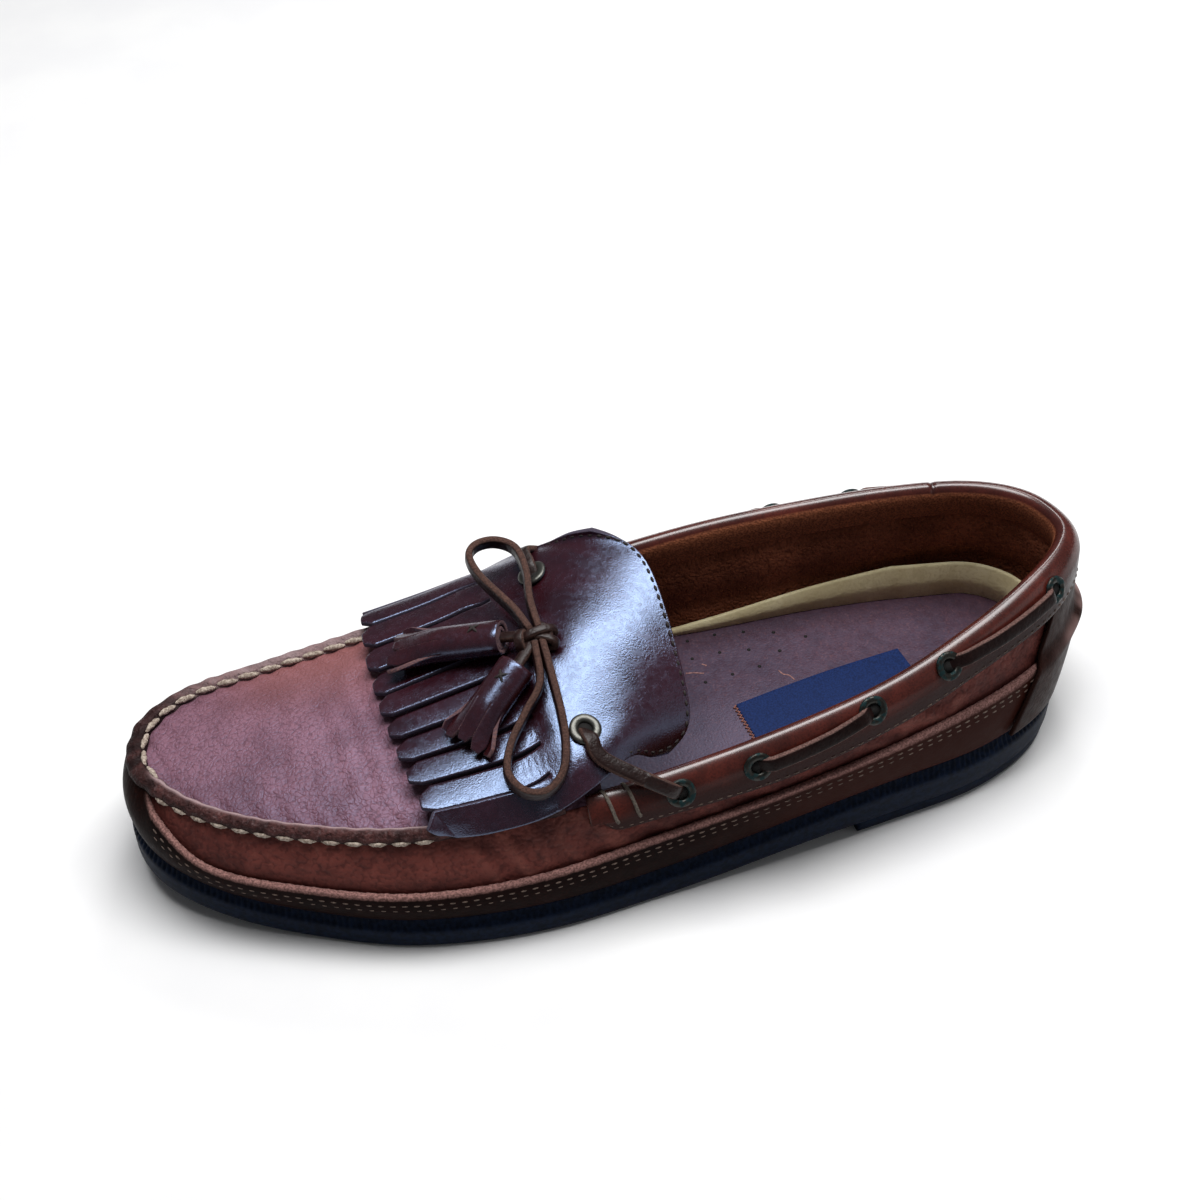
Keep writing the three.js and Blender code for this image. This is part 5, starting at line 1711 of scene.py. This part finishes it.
# Line of stitches round the tongue's back, as rows and places across
TONGUE_SEAM = (
    (3.9, TONGUE_SEAM_INSET), (5.2, TONGUE_SEAM_INSET), (5.75, TONGUE_SEAM_INSET + 0.06), (5.82, 0.3),
    (5.82, 0.7), (5.75, 0.94 - TONGUE_SEAM_INSET), (5.2, 1 - TONGUE_SEAM_INSET), (4.0, 1 - TONGUE_SEAM_INSET),
)


def tongue_stitches():
    row, across = curve_through(TONGUE_SEAM, 700).T
    curve = kiltie_at(row, across, LEATHER / 2)
    return thread_row(curve, kiltie_normal(row, across), pitch=3.0, fill=0.7, radius=0.45, lift=0.2)


piece("kiltie_leather", kiltie(), KILTIE_LEATHER, ("kiltie",))
piece("tongue_stitches", tongue_stitches(), DARK_THREAD, ())


# Eyelets on the collar and the kiltie
RING_HEIGHT = 0.55
RING_HALF_HEIGHT = 0.75
RING_DENT = 0.02
KILTIE_RING_EXTRA = 0.3

# Outer face of the collar roll: drops below the collar line, and distances out there
ROLL_DROPS = (-1.0, 1.5, 5.0, 9.0, 14.0)
ROLL_OUTS = (1.2, 2.7, 3.25, 3.0, 2.6)
ROLL_STEP = 1.5


def collar_spot(side, angle, drop):
    """An eyelet's angle and drop on either side of the shoe."""
    return (angle, drop) if side == "lateral" else (-angle, drop + MEDIAL_DROP)


def roll_place(angle, drop):
    angle = np.asarray(angle, float)
    return collar_at(angle, -np.asarray(drop, float), np.interp(drop, ROLL_DROPS, ROLL_OUTS))


def roll_face(angle, drop, lift=0.0):
    """A place on the outside of the collar roll, and its outward direction."""
    upward = roll_place(angle, drop - ROLL_STEP) - roll_place(angle, drop + ROLL_STEP)
    around = roll_place(angle + ROLL_STEP, drop) - roll_place(angle - ROLL_STEP, drop)
    normal = unit(np.cross(upward, around))
    return roll_place(angle, drop) + normal * np.asarray(lift)[..., None], normal


def spokes(normal, count):
    """Arrows evenly round a circle that faces along the normal."""
    sideways = unit(np.cross(normal, [0.3, 0.2, 1.0]))
    turns = round_turns(count)[:, None]
    return sideways * np.cos(turns) + np.cross(normal, sideways) * np.sin(turns)


def eyelet_ring(place, normal, outer, tarnish, seed):
    arrows = spokes(normal, 48)
    phi = round_turns(14)
    middle, half = (outer + EYELET_INNER) / 2, (outer - EYELET_INNER) / 2
    dent = 1 + RING_DENT * np.sin(3 * round_turns(48) + seed)
    reach = middle * dent[:, None] + half * np.cos(phi)[None]
    height = RING_HEIGHT + RING_HALF_HEIGHT * np.sin(phi)
    sections = place + arrows[:, None] * reach[..., None] + normal * height[None, :, None]
    return sweep(sections, closed=True, dark=tarnish)


# A dark plug in the eyelet's hole: painted shade
def eyelet_hole(place, normal):
    ring = place + spokes(normal, 24) * (EYELET_INNER + 0.5)
    return sweep(np.stack([ring - normal * 0.8, ring + normal * 0.3]))


def eyelet_spots():
    """Node, place, direction, outer radius and tarnish of each eyelet."""
    spots = []
    for side in ("lateral", "medial"):
        for index, eyelet in enumerate(EYELETS):
            place, normal = roll_face(*collar_spot(side, *eyelet))
            spots.append((f"eyelet_{side}_{index + 1}", place, normal, EYELET_OUTER, 1.0))
    for side, entry in KILTIE_EYELETS.items():
        row, across = np.array(entry["row"]), np.array(entry["across"])
        place = kiltie_at(row, across, LEATHER / 2)
        outer = EYELET_OUTER + KILTIE_RING_EXTRA
        spots.append((f"eyelet_kiltie_{side}", place, kiltie_normal(row, across), outer, 0.0))
    return spots


spots = eyelet_spots()
rings = [eyelet_ring(*spot[1:], seed) for seed, spot in enumerate(spots)]
holes = [eyelet_hole(spot[1], spot[2]) for spot in spots]
piece("eyelet_rings", joined(rings), EYELET_METAL, [spot[0] for spot in spots])
piece("eyelet_hole_shades", joined(holes), HOLE_SHADE, ())


# Lace bars along the collar, and from the kiltie's eyelets to the collar
BAR_SAG = 0.8
BAR_LIFT = 0.9
BAR_DIVE = 1.0
BAR_DIVE_SHARE = 0.12
FRONT_BAR_LIFT = 0.6
FRONT_BAR_RISE = 2.6
FRONT_BAR_END_SHARE = 0.2
FRONT_BAR_POINTS = 90
FRONT_BAR_KILTIE_POINTS = 60

# Places of a front bar over the kiltie: rows past the eyelet, and share of the way to the kiltie's edge
FRONT_BAR_STEPS = ((0.03, 0.16), (0.16, 0.62))


def collar_bar(side, bar):
    (first, first_drop), (last, last_drop) = (collar_spot(side, *EYELETS[end]) for end in bar)
    share = np.linspace(0, 1, 60)
    angles = mix(first, last, share)
    drops = mix(first_drop, last_drop, share) + BAR_SAG * np.sin(np.pi * share)
    out = smooth_step(np.minimum(share, 1 - share), 0.0, BAR_DIVE_SHARE)
    places, normals = roll_face(angles, drops, mix(-BAR_DIVE, LACE_THICKNESS / 2 + BAR_LIFT, out))
    tangents = unit(np.gradient(places, axis=0))
    return strap(places, np.cross(normals, tangents), LACE_WIDTH, LACE_THICKNESS)


def kiltie_bar(side, entry):
    hole = kiltie_at(entry["row"], entry["across"], LEATHER / 2 - BAR_DIVE)
    steps, shares = np.array(FRONT_BAR_STEPS).T
    rows = entry["row"] + steps
    across = mix(entry["across"], entry["edge"], shares)
    over = kiltie_at(rows, across, LEATHER / 2 + LACE_THICKNESS / 2 + FRONT_BAR_LIFT)
    end, out = roll_face(*collar_spot(side, *EYELETS[0]), -BAR_DIVE)
    before = mix(end, over[-1], FRONT_BAR_END_SHARE) + out * FRONT_BAR_RISE
    curve = curve_through([hole, *over, before, end], FRONT_BAR_POINTS)
    over_kiltie = np.arange(FRONT_BAR_POINTS)[:, None] < FRONT_BAR_KILTIE_POINTS
    normals = np.where(over_kiltie, kiltie_normal(rows[1:], across[1:]), out)
    return strap(curve, np.cross(normals, np.gradient(curve, axis=0)), LACE_WIDTH, LACE_THICKNESS)


for side in ("lateral", "medial"):
    bars = [collar_bar(side, bar) for bar in LACE_BARS]
    nodes = [f"lace_{side}_{index + 1}" for index in range(len(LACE_BARS))]
    piece(f"lace_bars_{side}", joined(bars), SHADED_BAR_HIDE, nodes)
    front = kiltie_bar(side, KILTIE_EYELETS[side])
    piece(f"lace_front_{side}", front, RAWHIDE, (f"lace_{side}_front",))


# Floor and light
FLOOR_REACH = 12.0
WHITE = (1.0, 1.0, 1.0)
SKY = (0.97, 0.98, 1.0, 1.0)
SKY_STRENGTH = 0.1
SHOE_MIDDLE = (0, 0, 0.03)

# Soft lights: place and target, size of the sheet, and power in watts
LIGHTS = {
    "overhead": ((0.12, 0.14, 1.0), (0.12, 0.141, 0), (0.95, 0.44), 14.0),
    "back": ((0.4, 0.9, 1.0), SHOE_MIDDLE, (0.3, 0.3), 3.0),
    "right": ((0.9, -0.55, 0.4), SHOE_MIDDLE, (0.5, 0.5), 0.4),
}


def floor():
    mesh = bpy.data.meshes.new("floor")
    corners = [(FLOOR_REACH * x, FLOOR_REACH * y, 0) for x, y in ((-1, -1), (1, -1), (1, 1), (-1, 1))]
    mesh.from_pydata(corners, [], [(0, 1, 2, 3)])
    mesh.materials.append(FLOOR_WHITE)
    made = bpy.data.objects.new("floor", mesh)
    bpy.context.collection.objects.link(made)


def soft_light(name, place, target, size, energy):
    lamp = bpy.data.lights.new(name, "AREA")
    lamp.shape = "RECTANGLE"
    lamp.size, lamp.size_y = size
    lamp.energy = energy
    lamp.color = WHITE
    made = bpy.data.objects.new(name, lamp)
    made.location = place
    made.rotation_mode = "QUATERNION"
    made.rotation_quaternion = (Vector(target) - Vector(place)).to_track_quat("-Z", "Y")
    bpy.context.collection.objects.link(made)


def lights():
    world = bpy.data.worlds.new("studio")
    world.use_nodes = True
    background = world.node_tree.nodes["Background"]
    background.inputs["Color"].default_value = SKY
    background.inputs["Strength"].default_value = SKY_STRENGTH
    bpy.context.scene.world = world
    for name, settings in LIGHTS.items():
        soft_light(name, *settings)


floor()
lights()
bpy.context.scene.view_settings.view_transform = "Standard"
